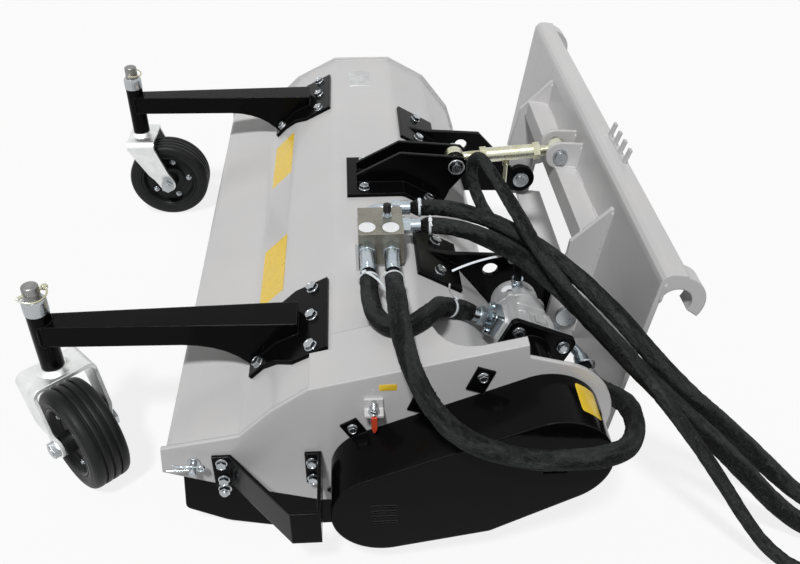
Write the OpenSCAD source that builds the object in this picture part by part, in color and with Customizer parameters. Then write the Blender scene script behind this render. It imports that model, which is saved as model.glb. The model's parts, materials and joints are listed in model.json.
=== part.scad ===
// Hydraulic flail mower for a compact loader: a folded hood with a flail rotor, a belt drive
// from a hydraulic motor, two castor wheels on arms in front and a hook-on hitch behind.
// X runs along the rotor, +Y is the direction of travel, +Z is up and the ground is at Z = 0.

/* [Deck] */
// Width over both side plates
deck_w = 1340; // [1200:10:1800]
// Height of the flat top above the ground
deck_h = 350; // [340:2:390]
// Thickness of the side plates
side_t = 8; // [5:0.5:12]
// Thickness of the hood sheet
hood_t = 6; // [3:0.5:8]
// Half the depth of the flat top
top_half = 73; // [60:1:90]
// Fold between the two front slopes, ahead of the rotor
shoulder_y = 178; // [165:1:195]
// Drop of that fold below the top
shoulder_drop = 54; // [45:1:62]
// Fold between the steep slope and the nose
knee_y = 237; // [225:1:255]
// Drop of that fold below the top
knee_drop = 112; // [104:1:122]
// Front edge of the nose
nose_y = 368; // [340:2:400]
// Drop of the front edge below the top
nose_drop = 135; // [128:1:150]
// Height of the turned-down front lip
lip_h = 50; // [30:1:60]
// Fold between the two rear slopes, behind the rotor
haunch_y = 170; // [160:1:185]
// Drop of that fold below the top
haunch_drop = 56; // [48:1:66]
// Fold between the steep rear slope and the tail
heel_y = 241; // [230:1:250]
// Drop of that fold below the top
heel_drop = 150; // [140:1:165]
// Rear edge of the tail
tail_y = 262; // [255:1:275]
// Drop of the tail's lower fold below the top
tail_drop = 215; // [205:1:225]
// Height of the tail's lower lip
tail_lip = 40; // [20:1:50]
// How far the side plates stand proud of the hood
edge_proud = 6; // [2:0.5:10]
// Lowest edge of the side plates above the ground
side_low = 75; // [60:1:85]
// Slope of the left side plate's raised rear part, in degrees
rise_angle = 12.7; // [10:0.1:14]

/* [Rotor] */
// Height of the rotor's axis
rotor_h = 163; // [158:1:172]
// Radius of the rotor tube
rotor_r = 57; // [48:0.5:60]
// Wall of the rotor tube
rotor_wall = 9; // [6:0.5:14]
// Radius of the shaft stubs
stub_r = 22; // [18:0.5:25]
// Distance from the axis to the flail bolts
hinge_r = 85; // [82:0.5:90]
// Radius of the flail bolts
flail_bolt_r = 8; // [6:0.5:9]
// Reach of a flail from its bolt to its tip
flail_len = 65; // [55:0.5:68]
// Width of a flail
flail_w = 48; // [36:1:60]
// Flails in each row
flails_per_row = 4; // [2:1:4]

/* [Belt drive] */
// Distance of the motor's axis behind the rotor
motor_back = 275; // [265:1:285]
// Depth of the motor's axis below the top of the deck
motor_drop = 80; // [73:1:89]
// Outer radius of the rotor pulley
rotor_pulley_r = 68; // [60:0.5:72]
// Outer radius of the motor pulley
motor_pulley_r = 72; // [64:0.5:76]
// Number of belts
belts = 3; // [2:1:3]
// Distance between neighbouring belts
belt_pitch = 19; // [17:0.5:21]
// Depth of the belt guard
guard_d = 110; // [104:1:130]
// Radius of the guard round the rotor's axis
guard_rotor_r = 88; // [84:1:94]
// Radius of the guard round the motor's axis
guard_motor_r = 93; // [88:1:99]
// Sheet thickness of the guard
guard_t = 3; // [2:0.5:4]
// Radius of the drive shaft
shaft_r = 17.5; // [14:0.5:20]

/* [Castor wheels] */
// Distance of each wheel arm from the middle
arm_x = 468; // [420:2:500]
// Distance of the swivel axis ahead of the rotor
post_y = 597; // [570:1:640]
// Outer radius of the swivel tube
post_r = 21; // [19:0.5:26]
// Radius of the swivel stem
stem_r = 15; // [12:0.5:16]
// Height of the top of the stem
stem_top = 425; // [418:1:440]
// Distance of the wheel behind the swivel axis
trail = 57; // [50:1:66]
// Radius of the tyre
tyre_r = 105; // [98:1:108]
// Width of the tyre
tyre_w = 76; // [60:1:84]
// Radius of the axle bolt
axle_r = 10; // [8:0.5:12]
// Gap between the fork's legs
fork_gap = 96; // [90:1:110]
// Swivel of the left castor, in degrees
left_swivel = -48; // [-90:1:90]

/* [Loader hitch] */
// Width of the hook beam
hitch_w = 1150; // [1000:10:1300]
// Height of the lower pivot above the ground
pivot_h = 185; // [178:1:195]
// Distance of the lower pivot behind the rotor
pivot_back = 400; // [392:1:410]
// Lean of the hitch, in degrees
hitch_lean = 8; // [6:0.5:9]
// Distance of each hitch leg from the deck's side
leg_inset = 374; // [368:1:380]
// Thickness of the hitch plates
hitch_t = 10; // [8:0.5:12]
// Radius of the lower pivot pins
pivot_r = 14; // [10:0.5:15]
// Throat radius of the hooks
hook_r = 28; // [22:0.5:30]
// Width of a hook
hook_w = 40; // [30:1:50]
// Radius of the locking holes
lock_r = 16; // [10:0.5:20]

/* [Hydraulics] */
// Radius of the crimped ends of the pressure hoses
hose_r = 14; // [11:0.5:14]
// Radius of the sleeves of the pressure hoses
sleeve_r = 16.5; // [14:0.5:17]
// Radius of the crimped ends of the drain hose
drain_r = 11; // [8:0.5:11]
// Radius of the sleeve of the drain hose
drain_sleeve_r = 12.5; // [11:0.5:13]
// Turn of the motor about its axis, in degrees
motor_turn = 24; // [22:1:26]

/* [Hidden] */
$fn = 48;
run_gap = 0.05;
seat_gap = 0.3;
nip = 0.03;
bolt_r = 6;
bolt_hole_r = 6.4;
bracket_t = 8;
half = deck_w / 2;
inner = half - side_t;

// Plane helpers: points are [y, z] of the side view unless a comment says otherwise
function unit(v) = v / norm(v);
function left(v) = [-v[1], v[0]];
function rev(l) = [for (i = [len(l) - 1 : -1 : 0]) l[i]];
function mix(a, b, t) = a + (b - a) * t;
function xy(c) = [c[0], c[1]];
function angle_of(v) = atan2(v[1], v[0]);
function arc(c, r, a0, a1, n) =
    [for (i = [0 : n]) c + r * [cos(a0 + (a1 - a0) * i / n), sin(a0 + (a1 - a0) * i / n)]];
function curve(a, b, c, n) =
    [for (i = [0 : n]) let (s = i / n) (1 - s) * (1 - s) * a + 2 * s * (1 - s) * b + s * s * c];
function soften(p, t, n = 4) = concat(
    [p[0]],
    [for (i = [1 : len(p) - 2])
        each curve(p[i] + t * unit(p[i - 1] - p[i]), p[i], p[i] + t * unit(p[i + 1] - p[i]), n)],
    [p[len(p) - 1]]);
function mitre(p, i, d) =
    let (last = len(p) - 1,
         a = left(unit(i == 0 ? p[1] - p[0] : p[i] - p[i - 1])),
         b = i == last ? a : left(unit(p[i + 1] - p[i])),
         m = a + b)
    p[i] + m * (2 * d / (m * m));
function offset_path(p, d) = [for (i = [0 : len(p) - 1]) mitre(p, i, d)];
function band(p, d) = concat(p, rev(offset_path(p, d)));
function outward(a, b) = [unit(b - a)[1], -unit(b - a)[0]];
// Outward normal at the tangent that runs on the right of the way from circle a to circle b
function tangent_normal(a, b) =
    let (v = xy(b) - xy(a), s = (a[2] - b[2]) / norm(v))
    [unit(v)[1], -unit(v)[0]] * sqrt(1 - s * s) + unit(v) * s;
function tangent(a, b) =
    let (m = tangent_normal(a, b)) [xy(a) + a[2] * m, xy(b) + b[2] * m];

function shrunk(c) = [c[0], c[1], c[2] - nip];

// Outline stretched round circles [y, z, r] listed anticlockwise
module wrap(cs) {
    polygon([for (i = [0 : len(cs) - 1]) each tangent(shrunk(cs[i]), shrunk(cs[(i + 1) % len(cs)]))]);
    for (c = cs)
        translate(xy(c)) circle(c[2]);
}

// Rounded rectangle centred on the axis
module pad(w, h, r) {
    square([w - 2 * r, h], center = true);
    square([w, h - 2 * r], center = true);
    for (sx = [-1, 1], sy = [-1, 1])
        translate([sx * (w / 2 - r), sy * (h / 2 - r)]) circle(r);
}

// Side view profile extruded from x0 to x1
module along_x(x0, x1) {
    translate([x0, 0, 0]) rotate([90, 0, 90]) linear_extrude(x1 - x0) children();
}

// Round bar along X
module rod_x(x0, x1, c, r) {
    translate([x0, c[0], c[1]]) rotate([0, 90, 0]) cylinder(h = x1 - x0, r = r);
}

// Hexagon along X, across corners 2 r
module hex_x(x0, x1, c, r) {
    translate([x0, c[0], c[1]]) rotate([0, 90, 0]) cylinder(h = x1 - x0, r = r, $fn = 6);
}

// Children stand on a slope of the side view, their Z along the outward normal n
module on_slope(x, p, n) {
    translate([x, p[0], p[1]]) rotate([atan2(-n[0], n[1]), 0, 0]) children();
}

// Hexagon bolt standing on Z = 0 with a shank of the grip length below and its nut
module bolt(grip) {
    cylinder(h = 2, r = 12);
    translate([0, 0, 2]) cylinder(h = 8, r = 11, $fn = 6);
    translate([0, 0, -grip - 10]) cylinder(h = grip + 10, r = bolt_r);
    translate([0, 0, -grip - 10]) difference() {
        cylinder(h = 10, r = 11, $fn = 6);
        translate([0, 0, -1]) cylinder(h = 12, r = bolt_r);
    }
}

// Folds of the hood, from the front lip over the top to the rear hem
nose = [nose_y, deck_h - nose_drop];
knee = [knee_y, deck_h - knee_drop];
shoulder = [shoulder_y, deck_h - shoulder_drop];
ridge = [top_half, deck_h];
crest = [-top_half, deck_h];
haunch = [-haunch_y, deck_h - haunch_drop];
heel = [-heel_y, deck_h - heel_drop];
tail = [-tail_y, deck_h - tail_drop];
lip = nose + [4, -lip_h];
hem = tail - [4, tail_lip];
hood_path = [lip, nose, knee, shoulder, ridge, crest, haunch, heel, tail, hem];
hood_round = soften(hood_path, 12);
edge_path = offset_path(hood_path, -edge_proud);
rotor_c = [0, rotor_h];
motor_c = [rotor_c[0] - motor_back, deck_h - motor_drop];

// Space under the hood's outer face, for cutting what is seated on the hood
module hood_core() {
    along_x(-half - 1, half + 1)
        polygon(concat(hood_round, [[hem[0], 0], [lip[0], 0]]));
}

// Wheel arm: base plate bolts, swivel tube and castor
slope_b = outward(shoulder, ridge);
slope_a = outward(knee, shoulder);
arm_row = mix(shoulder, ridge, 0.62);
arm_toe = mix(shoulder, knee, 0.52);
arm_row_pitch = 83;
arm_toe_x = 48;
arm_top = deck_h - 4;
arm_h = 44;
arm_low = arm_top - arm_h;
tube_top = deck_h + 16;
fork_top = 2 * tyre_r + 26;
fork_t = 10;
boss_h = 8;
tube_low = fork_top + boss_h + seat_gap;
collar_h = 30;
leg_t = 8;

module at_arm_bolts() {
    for (side = [-1, 1]) {
        for (i = [-1 : 1])
            on_slope(side * arm_x + i * arm_row_pitch, arm_row + bracket_t * slope_b, slope_b) children();
        for (i = [-1, 1])
            on_slope(side * arm_x + i * arm_toe_x, arm_toe + bracket_t * slope_a, slope_a) children();
    }
}

// Headstock brackets on the rear of the hood
rear_slope = outward(crest, haunch);
foot_mid = mix(crest, haunch, 0.53);
leg_x = half - leg_inset;
foot_x = [leg_x - 70, leg_x + 34];
centre_x = 58;
centre_front = [10, deck_h];

module at_headstock_bolts() {
    for (side = [-1, 1]) {
        for (x = foot_x)
            on_slope(side * x, foot_mid + bracket_t * rear_slope, rear_slope) children();
        on_slope(side * centre_x, centre_front + [0, bracket_t], [0, 1]) children();
        on_slope(side * centre_x, foot_mid + bracket_t * rear_slope, rear_slope) children();
    }
}

module hood() {
    color("silver") difference() {
        along_x(-inner, inner) polygon(band(hood_round, hood_t));
        at_arm_bolts() translate([0, 0, -30]) cylinder(h = 40, r = bolt_hole_r);
        at_headstock_bolts() translate([0, 0, -30]) cylinder(h = 40, r = bolt_hole_r);
    }
}

// Lower outline of both side plates, from the rear corner to the front
side_step = [110, 300];
side_front_rise = 60;
function side_bottom(rear_y) =
    [[rear_y, side_low], [side_step[0], side_low], [side_step[1], side_low + side_front_rise]];

// Raised rear part of the left side plate, over the drive
rise_from = [118, deck_h - 4];
rise_to = [-237, rise_from[1] + (rise_from[0] + 237) * tan(rise_angle)];
rise_step = 27;
end_r = guard_motor_r + 22;
left_outline = concat(
    [for (i = [0 : 3]) edge_path[i]],
    [rise_from, rise_to, rise_to - [3, rise_step]],
    arc(motor_c, end_r, 100, 205, 14),
    side_bottom(-tail_y - 40));
right_outline = concat(edge_path, side_bottom(hem[0] - edge_proud));

// Flange turned in from the raised edge, in plan [x, y]
flange_w = 130;
flange_nose_w = 90;
flange_from = top_half + 8;
flange_end_w = 22;
flange_plan = concat(
    [[-half, rise_from[0]], [-half + flange_nose_w, rise_from[0]],
     [-half + flange_nose_w, flange_from], [-half + flange_w, flange_from]],
    curve([-half + flange_w, -84], [-half + flange_end_w + 8, -96], [-half + flange_end_w, -165], 6),
    [[-half + flange_end_w, rise_to[0]], [-half, rise_to[0]]]);

module side_plate_left() {
    color("silver") {
        along_x(-half, -inner) difference() {
            polygon(left_outline);
            translate(rotor_c) circle(stub_r + 8);
            translate(motor_c) circle(shaft_r + 8);
        }
        difference() {
            intersection() {
                along_x(-inner, -half + flange_w + 1)
                    polygon([rise_from, rise_to, rise_to - [0, hood_t], rise_from - [0, hood_t]]);
                linear_extrude(deck_h + 200) polygon(flange_plan);
            }
            hood_core();
        }
        difference() {
            along_x(-half + flange_w - hood_t, -half + flange_w)
                polygon([[56, deck_h - 20], [56, deck_h + 4], mix(rise_from, rise_to, 0.55) - [0, hood_t],
                         [-77, deck_h - 20]]);
            hood_core();
        }
    }
}

module side_plate_right() {
    color("silver") along_x(inner, half) difference() {
        polygon(right_outline);
        translate(rotor_c) circle(stub_r + 8);
    }
}

// Skid runner inside each side plate, with its sole turned inwards
skid_t = 10;
sole_w = 52;
skid_front = [nose_y - 15, 60];
skid_nose = soften([skid_front + [-7, 82], skid_front, [280, 20], [200, 0], [-200, 0], [-245, 30],
                    [-245, 130]], 10);
skid_bolts = [[278, 107], [-150, 107]];

module skid(side) {
    color([0.08, 0.08, 0.08]) mirror([side < 0 ? 1 : 0, 0, 0]) {
        difference() {
            along_x(inner - skid_t, inner) polygon(skid_nose);
            for (p = skid_bolts)
                rod_x(inner - skid_t - 1, inner + 1, p, bolt_hole_r);
        }
        along_x(inner - skid_t - sole_w, inner - skid_t)
            polygon(band([[270, 17.5], [200, 0], [-200, 0], [-240, 26.7]], -8));
    }
}
module skid_left() { skid(-1); }
module skid_right() { skid(1); }

// Cross pin with a spring clip that sets each skid, and the skid's bolts
pin_at = [322, 185];
clip_bend = 4.25;
clip_legs = [[58, 0], [44, 2 * clip_bend]];
module skid_pins() {
    color("gainsboro") for (side = [-1, 1]) mirror([side < 0 ? 1 : 0, 0, 0]) {
        rod_x(half, half + 26, pin_at, bolt_r);
        rod_x(half, half + 4, pin_at, 11);
        translate([half + 16, pin_at[0], pin_at[1]]) {
            for (leg = clip_legs)
                translate([0, -14, leg[1]]) rotate([-90, 0, 0]) cylinder(h = leg[0], r = 2);
            translate([0, -14, clip_bend]) rotate([90, 0, 90]) rotate([0, 0, 90])
                rotate_extrude(angle = 180) translate([clip_bend, 0]) circle(2, $fn = 16);
        }
        rod_x(inner - skid_t, inner, skid_bolts[0], bolt_r);
        hex_x(inner, half + 2, skid_bolts[0], 11);
        rod_x(inner - skid_t, inner, skid_bolts[1], bolt_r);
        hex_x(inner - skid_t - 9, inner - skid_t, skid_bolts[1], 11);
    }
}

// Bent guard strip ahead of the belt guard, in plan [x, y]
strip_t = 6;
strip_low = 130;
strip_h = 72;
strip_out = half + 128;
strip_plan = [[-half, 290], [-half, 258], [-strip_out, 149], [-strip_out, 103], [-half, 103], [-half, 132]];
strip_bolts = [[274, 17], [274, 58], [120, 11], [120, 52]];

module side_guard() {
    color([0.1, 0.1, 0.1]) difference() {
        translate([0, 0, strip_low]) linear_extrude(strip_h) {
            polygon(band([for (i = [0 : 3]) strip_plan[i]], -strip_t));
            polygon(band([for (i = [3 : 5]) strip_plan[i]], strip_t));
        }
        for (b = strip_bolts)
            rod_x(-half - strip_t - 1, -half + 1, [b[0], strip_low + b[1]], 4.4);
    }
}

module wheel_arm(side) {
    plate = [mix(shoulder, knee, 0.84), shoulder, mix(shoulder, ridge, 0.88)];
    gusset = curve([350, arm_low], [262, arm_low - 2], [222, arm_low - 62], 6);
    color([0.07, 0.07, 0.07]) translate([side * arm_x, 0, 0]) difference() {
        union() {
            intersection() {
                along_x(-100, 100) polygon(band(plate, -bracket_t));
                linear_extrude(deck_h + 100)
                    polygon([[-100, 60], [100, 60], [100, 150], [64, 205], [64, 260], [-64, 260],
                             [-64, 205], [-100, 150]]);
            }
            difference() {
                intersection() {
                    along_x(-40, 40) polygon(concat([[post_y, arm_low]], gusset,
                        [[142, arm_low - 62], [142, arm_top], [post_y, arm_top]]));
                    linear_extrude(deck_h + 100)
                        polygon([[-21, post_y], [-33, 140], [33, 140], [21, post_y]]);
                }
                hood_core();
            }
            translate([0, post_y, tube_low]) cylinder(h = tube_top - tube_low, r = post_r);
        }
        translate([0, post_y, tube_low - 1]) cylinder(h = tube_top - tube_low + 2, r = stem_r + run_gap);
        translate([-side * arm_x, 0, 0])
            at_arm_bolts() translate([0, 0, -40]) cylinder(h = 60, r = bolt_hole_r);
    }
}
module wheel_arm_left() { wheel_arm(-1); }
module wheel_arm_right() { wheel_arm(1); }

module arm_bolts() {
    color("gainsboro") at_arm_bolts() bolt(bracket_t + hood_t);
}

// Castor parts are drawn straight, wheel behind the stem, and turned about the stem
module at_castor(side) {
    translate([side * arm_x, post_y, 0]) rotate([0, 0, side < 0 ? left_swivel : 0]) children();
}
wheel_c = [-trail, tyre_r];

module fork(side) {
    leg = [[-trail, tyre_r, 24], [22, fork_top - 10, 10], [-28, fork_top - 10, 10]];
    pin_h = stem_top - 16;
    color("lightgray") at_castor(side) difference() {
        union() {
            for (s = [-1, 1])
                translate([s * (fork_gap + leg_t) / 2, 0, 0]) along_x(-leg_t / 2, leg_t / 2) wrap(leg);
            translate([-fork_gap / 2 - leg_t, -38, fork_top - fork_t]) cube([fork_gap + 2 * leg_t, 70, fork_t]);
            translate([0, 0, fork_top]) cylinder(h = boss_h, r = post_r + 2);
            translate([0, 0, fork_top - 1]) cylinder(h = stem_top - fork_top + 1, r = stem_r);
        }
        rod_x(-fork_gap, fork_gap, wheel_c, axle_r + run_gap);
        rod_x(-stem_r - 1, stem_r + 1, [0, pin_h], 3.2);
    }
}
module castor_fork_left() { fork(-1); }
module castor_fork_right() { fork(1); }

module collar(side) {
    pin_h = stem_top - 16;
    ring_r = stem_r + 11;
    color("lightgray") at_castor(side) {
        translate([0, 0, tube_top + seat_gap]) difference() {
            cylinder(h = collar_h, r = post_r + 1);
            translate([0, 0, -1]) cylinder(h = collar_h + 2, r = stem_r + run_gap);
        }
        rod_x(-ring_r - 2, ring_r + 3, [0, pin_h], 3);
        translate([0, 0, pin_h]) rotate([90, 0, 0])
            rotate_extrude(angle = 180) translate([ring_r, 0]) circle(1.8, $fn = 16);
    }
}
module castor_collar_left() { collar(-1); }
module castor_collar_right() { collar(1); }

module axle_bolt(side) {
    out = fork_gap / 2 + leg_t;
    color("gainsboro") at_castor(side) {
        rod_x(-out - 14, out, wheel_c, axle_r);
        hex_x(out, out + 10, wheel_c, 17);
        difference() {
            hex_x(-out - 12, -out, wheel_c, 17);
            rod_x(-out - 13, -out + 1, wheel_c, axle_r);
        }
    }
}
module castor_axle_left() { axle_bolt(-1); }
module castor_axle_right() { axle_bolt(1); }

// Children drawn in [radius, width] turn about the wheel's axle
module at_wheel(side) {
    at_castor(side) translate([0, wheel_c[0], wheel_c[1]]) rotate([0, 90, 0]) children();
}
seat_r = tyre_r - 38;
hub_half = fork_gap / 2 - seat_gap;
rim_half = tyre_w / 2 - 5;
rim_bolt_r = (seat_r + 22) / 2;
rim_bolts = 5;

module rim(side) {
    color([0.12, 0.12, 0.12]) at_wheel(side) {
        rotate_extrude() polygon([[axle_r + run_gap, -hub_half], [axle_r + 11, -hub_half],
            [axle_r + 11, -14], [seat_r - 12, -11], [seat_r - 7, -rim_half], [seat_r, -rim_half],
            [seat_r, rim_half], [seat_r - 7, rim_half], [seat_r - 12, 11], [axle_r + 11, 14],
            [axle_r + 11, hub_half], [axle_r + run_gap, hub_half]]);
        for (i = [0 : rim_bolts - 1])
            rotate([0, 0, i * 360 / rim_bolts + 20]) translate([rim_bolt_r, 0, -20])
                cylinder(h = 40, r = 6, $fn = 6);
    }
}
module wheel_rim_left() { rim(-1); }
module wheel_rim_right() { rim(1); }

module tyre(side) {
    h = tyre_w / 2;
    groove = [6, 5];
    color([0.06, 0.06, 0.06]) at_wheel(side) rotate_extrude($fn = 72) difference() {
        polygon(concat([[seat_r, -h + 5], [seat_r + 6, -h]],
            curve([tyre_r - 11, -h], [tyre_r, -h + 1], [tyre_r, -h + 13], 4),
            curve([tyre_r, h - 13], [tyre_r, h - 1], [tyre_r - 11, h], 4),
            [[seat_r + 6, h], [seat_r, h - 5]]));
        for (i = [-1 : 1])
            translate([tyre_r - groove[0] + 1, i * tyre_w / 5 - groove[1] / 2]) square(groove);
    }
}
module wheel_tyre_left() { tyre(-1); }
module wheel_tyre_right() { tyre(1); }

// Rotor: tube, stub shafts and lugs in four rows a quarter turn apart
rotor_half = inner - 30;
row_angles = [45, 135, 225, 315];
lug_t = 8;
lug_gap = flail_w + 2;
flail_step = 2 * rotor_half * 0.2278;
function flail_x(row, i) = (i - (flails_per_row - 1) / 2) * flail_step + (row - 1.5) * flail_step / 4;

// Children in the frame of a row's hinge: Y outwards from the rotor's axis
module at_hinge(row, i) {
    translate([flail_x(row, i), rotor_c[0], rotor_c[1]]) rotate([row_angles[row], 0, 0])
        translate([0, hinge_r, 0]) children();
}
stub_left = -half - guard_d + 10;
stub_right = half + 22;

module rotor() {
    color([0.12, 0.12, 0.12]) {
        difference() {
            union() {
                rod_x(-rotor_half, rotor_half, rotor_c, rotor_r);
                for (row = [0 : 3], i = [0 : flails_per_row - 1], s = [-1, 1])
                    at_hinge(row, i) translate([s * (lug_gap + lug_t) / 2, 0, 0])
                        along_x(-lug_t / 2, lug_t / 2) wrap([[0, 0, 16], [rotor_r - hinge_r - 4, 12, 10],
                                                              [rotor_r - hinge_r - 4, -12, 10]]);
            }
            rod_x(-rotor_half + 16, rotor_half - 16, rotor_c, rotor_r - rotor_wall);
            for (row = [0 : 3], i = [0 : flails_per_row - 1])
                at_hinge(row, i) rod_x(-lug_gap, lug_gap, [0, 0], flail_bolt_r + run_gap);
        }
        rod_x(stub_left, -rotor_half, rotor_c, stub_r);
        rod_x(rotor_half, stub_right, rotor_c, stub_r);
    }
}

module flail_bolts() {
    reach = lug_gap / 2 + lug_t;
    color("dimgray") for (row = [0 : 3], i = [0 : flails_per_row - 1]) at_hinge(row, i) {
        rod_x(-reach - 8, reach, [0, 0], flail_bolt_r);
        hex_x(reach, reach + 7, [0, 0], 13);
        difference() {
            hex_x(-reach - 8, -reach, [0, 0], 13);
            rod_x(-reach - 9, -reach + 1, [0, 0], flail_bolt_r);
        }
    }
}

// Flails hang from their bolts: down at the lower rows, against the tube at the upper ones
rest_swing = [-112, 112, 45, -45];
module flail_row(row) {
    head = flail_len - 17;
    color([0.2, 0.2, 0.2]) for (i = [0 : flails_per_row - 1]) at_hinge(row, i) rotate([rest_swing[row], 0, 0])
        along_x(-flail_w / 2, flail_w / 2) difference() {
            union() {
                circle(14);
                polygon([[0, -13], [head - 14, -11], [head - 8, -17], [flail_len, -17], [flail_len, 17], [head - 8, 17],
                         [head - 14, 11], [0, 13]]);
            }
            circle(flail_bolt_r + run_gap);
        }
}
module flail_row_1() { flail_row(0); }
module flail_row_2() { flail_row(1); }
module flail_row_3() { flail_row(2); }
module flail_row_4() { flail_row(3); }

// Flange bearing with four bolts, its back on X = 0 and facing +X
module flange_bearing(bore, closed) {
    d = 38;
    difference() {
        union() {
            along_x(0, 14) wrap([[d, -d, 14], [d, d, 14], [-d, d, 14], [-d, -d, 14]]);
            rod_x(0, closed ? 36 : 26, [0, 0], 40);
        }
        rod_x(-1, 24, [0, 0], bore + run_gap);
        if (!closed)
            rod_x(20, 30, [0, 0], bore + run_gap);
    }
    for (y = [-d, d], z = [-d, d])
        hex_x(14, 22, [y, z], 9);
}
module rotor_bearings() {
    color([0.25, 0.25, 0.25]) {
        translate([half, rotor_c[0], rotor_c[1]]) flange_bearing(stub_r, true);
        translate([-half, rotor_c[0], rotor_c[1]]) mirror([1, 0, 0]) flange_bearing(stub_r, false);
    }
}

// V pulleys and belts between them, in the frame [y, z, x]
pulley_w = belts * belt_pitch + 9;
pulley_x = -half - 32 - pulley_w / 2;
groove_d = 14;
groove_top = 7.5;
groove_low = 3.5;
belt_proud = 1;
belt_h = 10;

module pulley(c, r, bore) {
    grooves = [for (i = [0 : belts - 1]) let (x = (i - (belts - 1) / 2) * belt_pitch)
        each [[r, x - groove_top], [r - groove_d, x - groove_low], [r - groove_d, x + groove_low],
              [r, x + groove_top]]];
    translate([pulley_x, c[0], c[1]]) rotate([0, 90, 0]) rotate_extrude($fn = 72)
        polygon(concat([[bore, -pulley_w / 2], [r, -pulley_w / 2]], grooves,
                       [[r, pulley_w / 2], [bore, pulley_w / 2]]));
}
module rotor_pulley() { color([0.3, 0.3, 0.3]) pulley(rotor_c, rotor_pulley_r, stub_r + run_gap); }
module motor_pulley() { color([0.3, 0.3, 0.3]) pulley(motor_c, motor_pulley_r, shaft_r + run_gap); }

// Belt section as [radius, width] about a pitch circle of outer radius r
module belt_section(r) {
    polygon([[r + belt_proud - belt_h, -4.3], [r + belt_proud, -7], [r + belt_proud, 7],
             [r + belt_proud - belt_h, 4.3]]);
}
module belt() {
    a = [rotor_c[0], rotor_c[1], rotor_pulley_r];
    b = [motor_c[0], motor_c[1], motor_pulley_r];
    for (pair = [[a, b], [b, a]]) {
        m = tangent_normal(pair[0], pair[1]);
        back = tangent_normal(pair[1], pair[0]);
        length = norm(tangent(pair[0], pair[1])[1] - tangent(pair[0], pair[1])[0]);
        turn = (angle_of(back) - angle_of(m) + 720) % 360;
        translate(xy(pair[1])) rotate([0, 0, angle_of(m)]) {
            rotate_extrude(angle = turn, $fn = 72) belt_section(pair[1][2]);
            translate([pair[1][2], 0, 0]) rotate([90, 0, 0]) linear_extrude(length)
                translate([-pair[1][2], 0]) belt_section(pair[1][2]);
        }
    }
}
module v_belts() {
    color([0.1, 0.1, 0.1]) rotate([90, 0, 90]) for (i = [0 : belts - 1])
        translate([0, 0, pulley_x + (i - (belts - 1) / 2) * belt_pitch]) belt();
}

module drive_shaft() {
    color("gray") rod_x(stub_left, mount_x - 3, motor_c, shaft_r);
}

// Belt guard: deep cover with a turned rim, vent slots and screw tabs
guard_low = [-170, rotor_h - 33];
function guard_ring(inset) = [
    [rotor_c[0], rotor_c[1], guard_rotor_r - inset],
    [motor_c[0], motor_c[1], guard_motor_r - inset],
    [guard_low[0], guard_low[1], 22 - inset]];
guard_tabs = [[[48, 258], -30], [[-70, 322], 21], [[-166, 364], 21], [[-341, 191], 140], [[75, 100], 230]];
guard_screw_r = 4;

module vents(c, tilt) {
    for (i = [-1.5 : 1.5]) rotate([0, 90, 0]) translate([-c[1], c[0], 0]) rotate([0, 0, tilt])
        translate([i * 13, 0, -1]) linear_extrude(guard_t + 2) wrap([[0, -18, 2.4], [0, 18, 2.4]]);
}
module belt_guard() {
    color([0.05, 0.05, 0.05]) difference() {
        union() {
            along_x(-half - guard_d, -half) wrap(guard_ring(0));
            for (t = guard_tabs)
                translate([-half - guard_t, t[0][0], t[0][1]]) rotate([t[1], 0, 0])
                    translate([0, -16, -34]) cube([guard_t - 0.1, 32, 50]);
        }
        along_x(-half - guard_d + guard_t, -half + 1) wrap(guard_ring(guard_t));
        translate([-half - guard_d, 0, 0]) {
            vents(rotor_c, 0);
            vents(motor_c, 0);
        }
        for (t = guard_tabs)
            rod_x(-half - guard_t - 1, -half + 1, t[0], guard_screw_r + 0.4);
    }
}
module guard_bolts() {
    color("gainsboro") {
        for (t = guard_tabs) {
            rod_x(-half - guard_t, -half, t[0], guard_screw_r);
            hex_x(-half - guard_t - 6, -half - guard_t, t[0], 8);
        }
        for (b = strip_bolts) {
            c = [b[0], strip_low + b[1]];
            rod_x(-half - strip_t, -half, c, guard_screw_r);
            hex_x(-half - strip_t - 7, -half - strip_t, c, 9);
        }
    }
}

// Belt tensioner: lug with its adjusting bolt and pointer on the left side plate
lug_at = [12, 304];
module belt_tensioner() {
    color("lightgray") {
        translate([-half - 22, lug_at[0] - 16, lug_at[1] - 14]) cube([22, 32, 6]);
        translate([-half - 5, lug_at[0] - 16, lug_at[1] - 14]) cube([5, 32, 26]);
        translate([-half - 14, lug_at[0], lug_at[1] - 30]) cylinder(h = 46, r = 4);
        translate([-half - 14, lug_at[0], lug_at[1] - 8]) cylinder(h = 8, r = 9, $fn = 6);
    }
    color("orangered") translate([-half - 8, lug_at[0] - 4, lug_at[1] - 46]) cube([4, 8, 32]);
}

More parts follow.
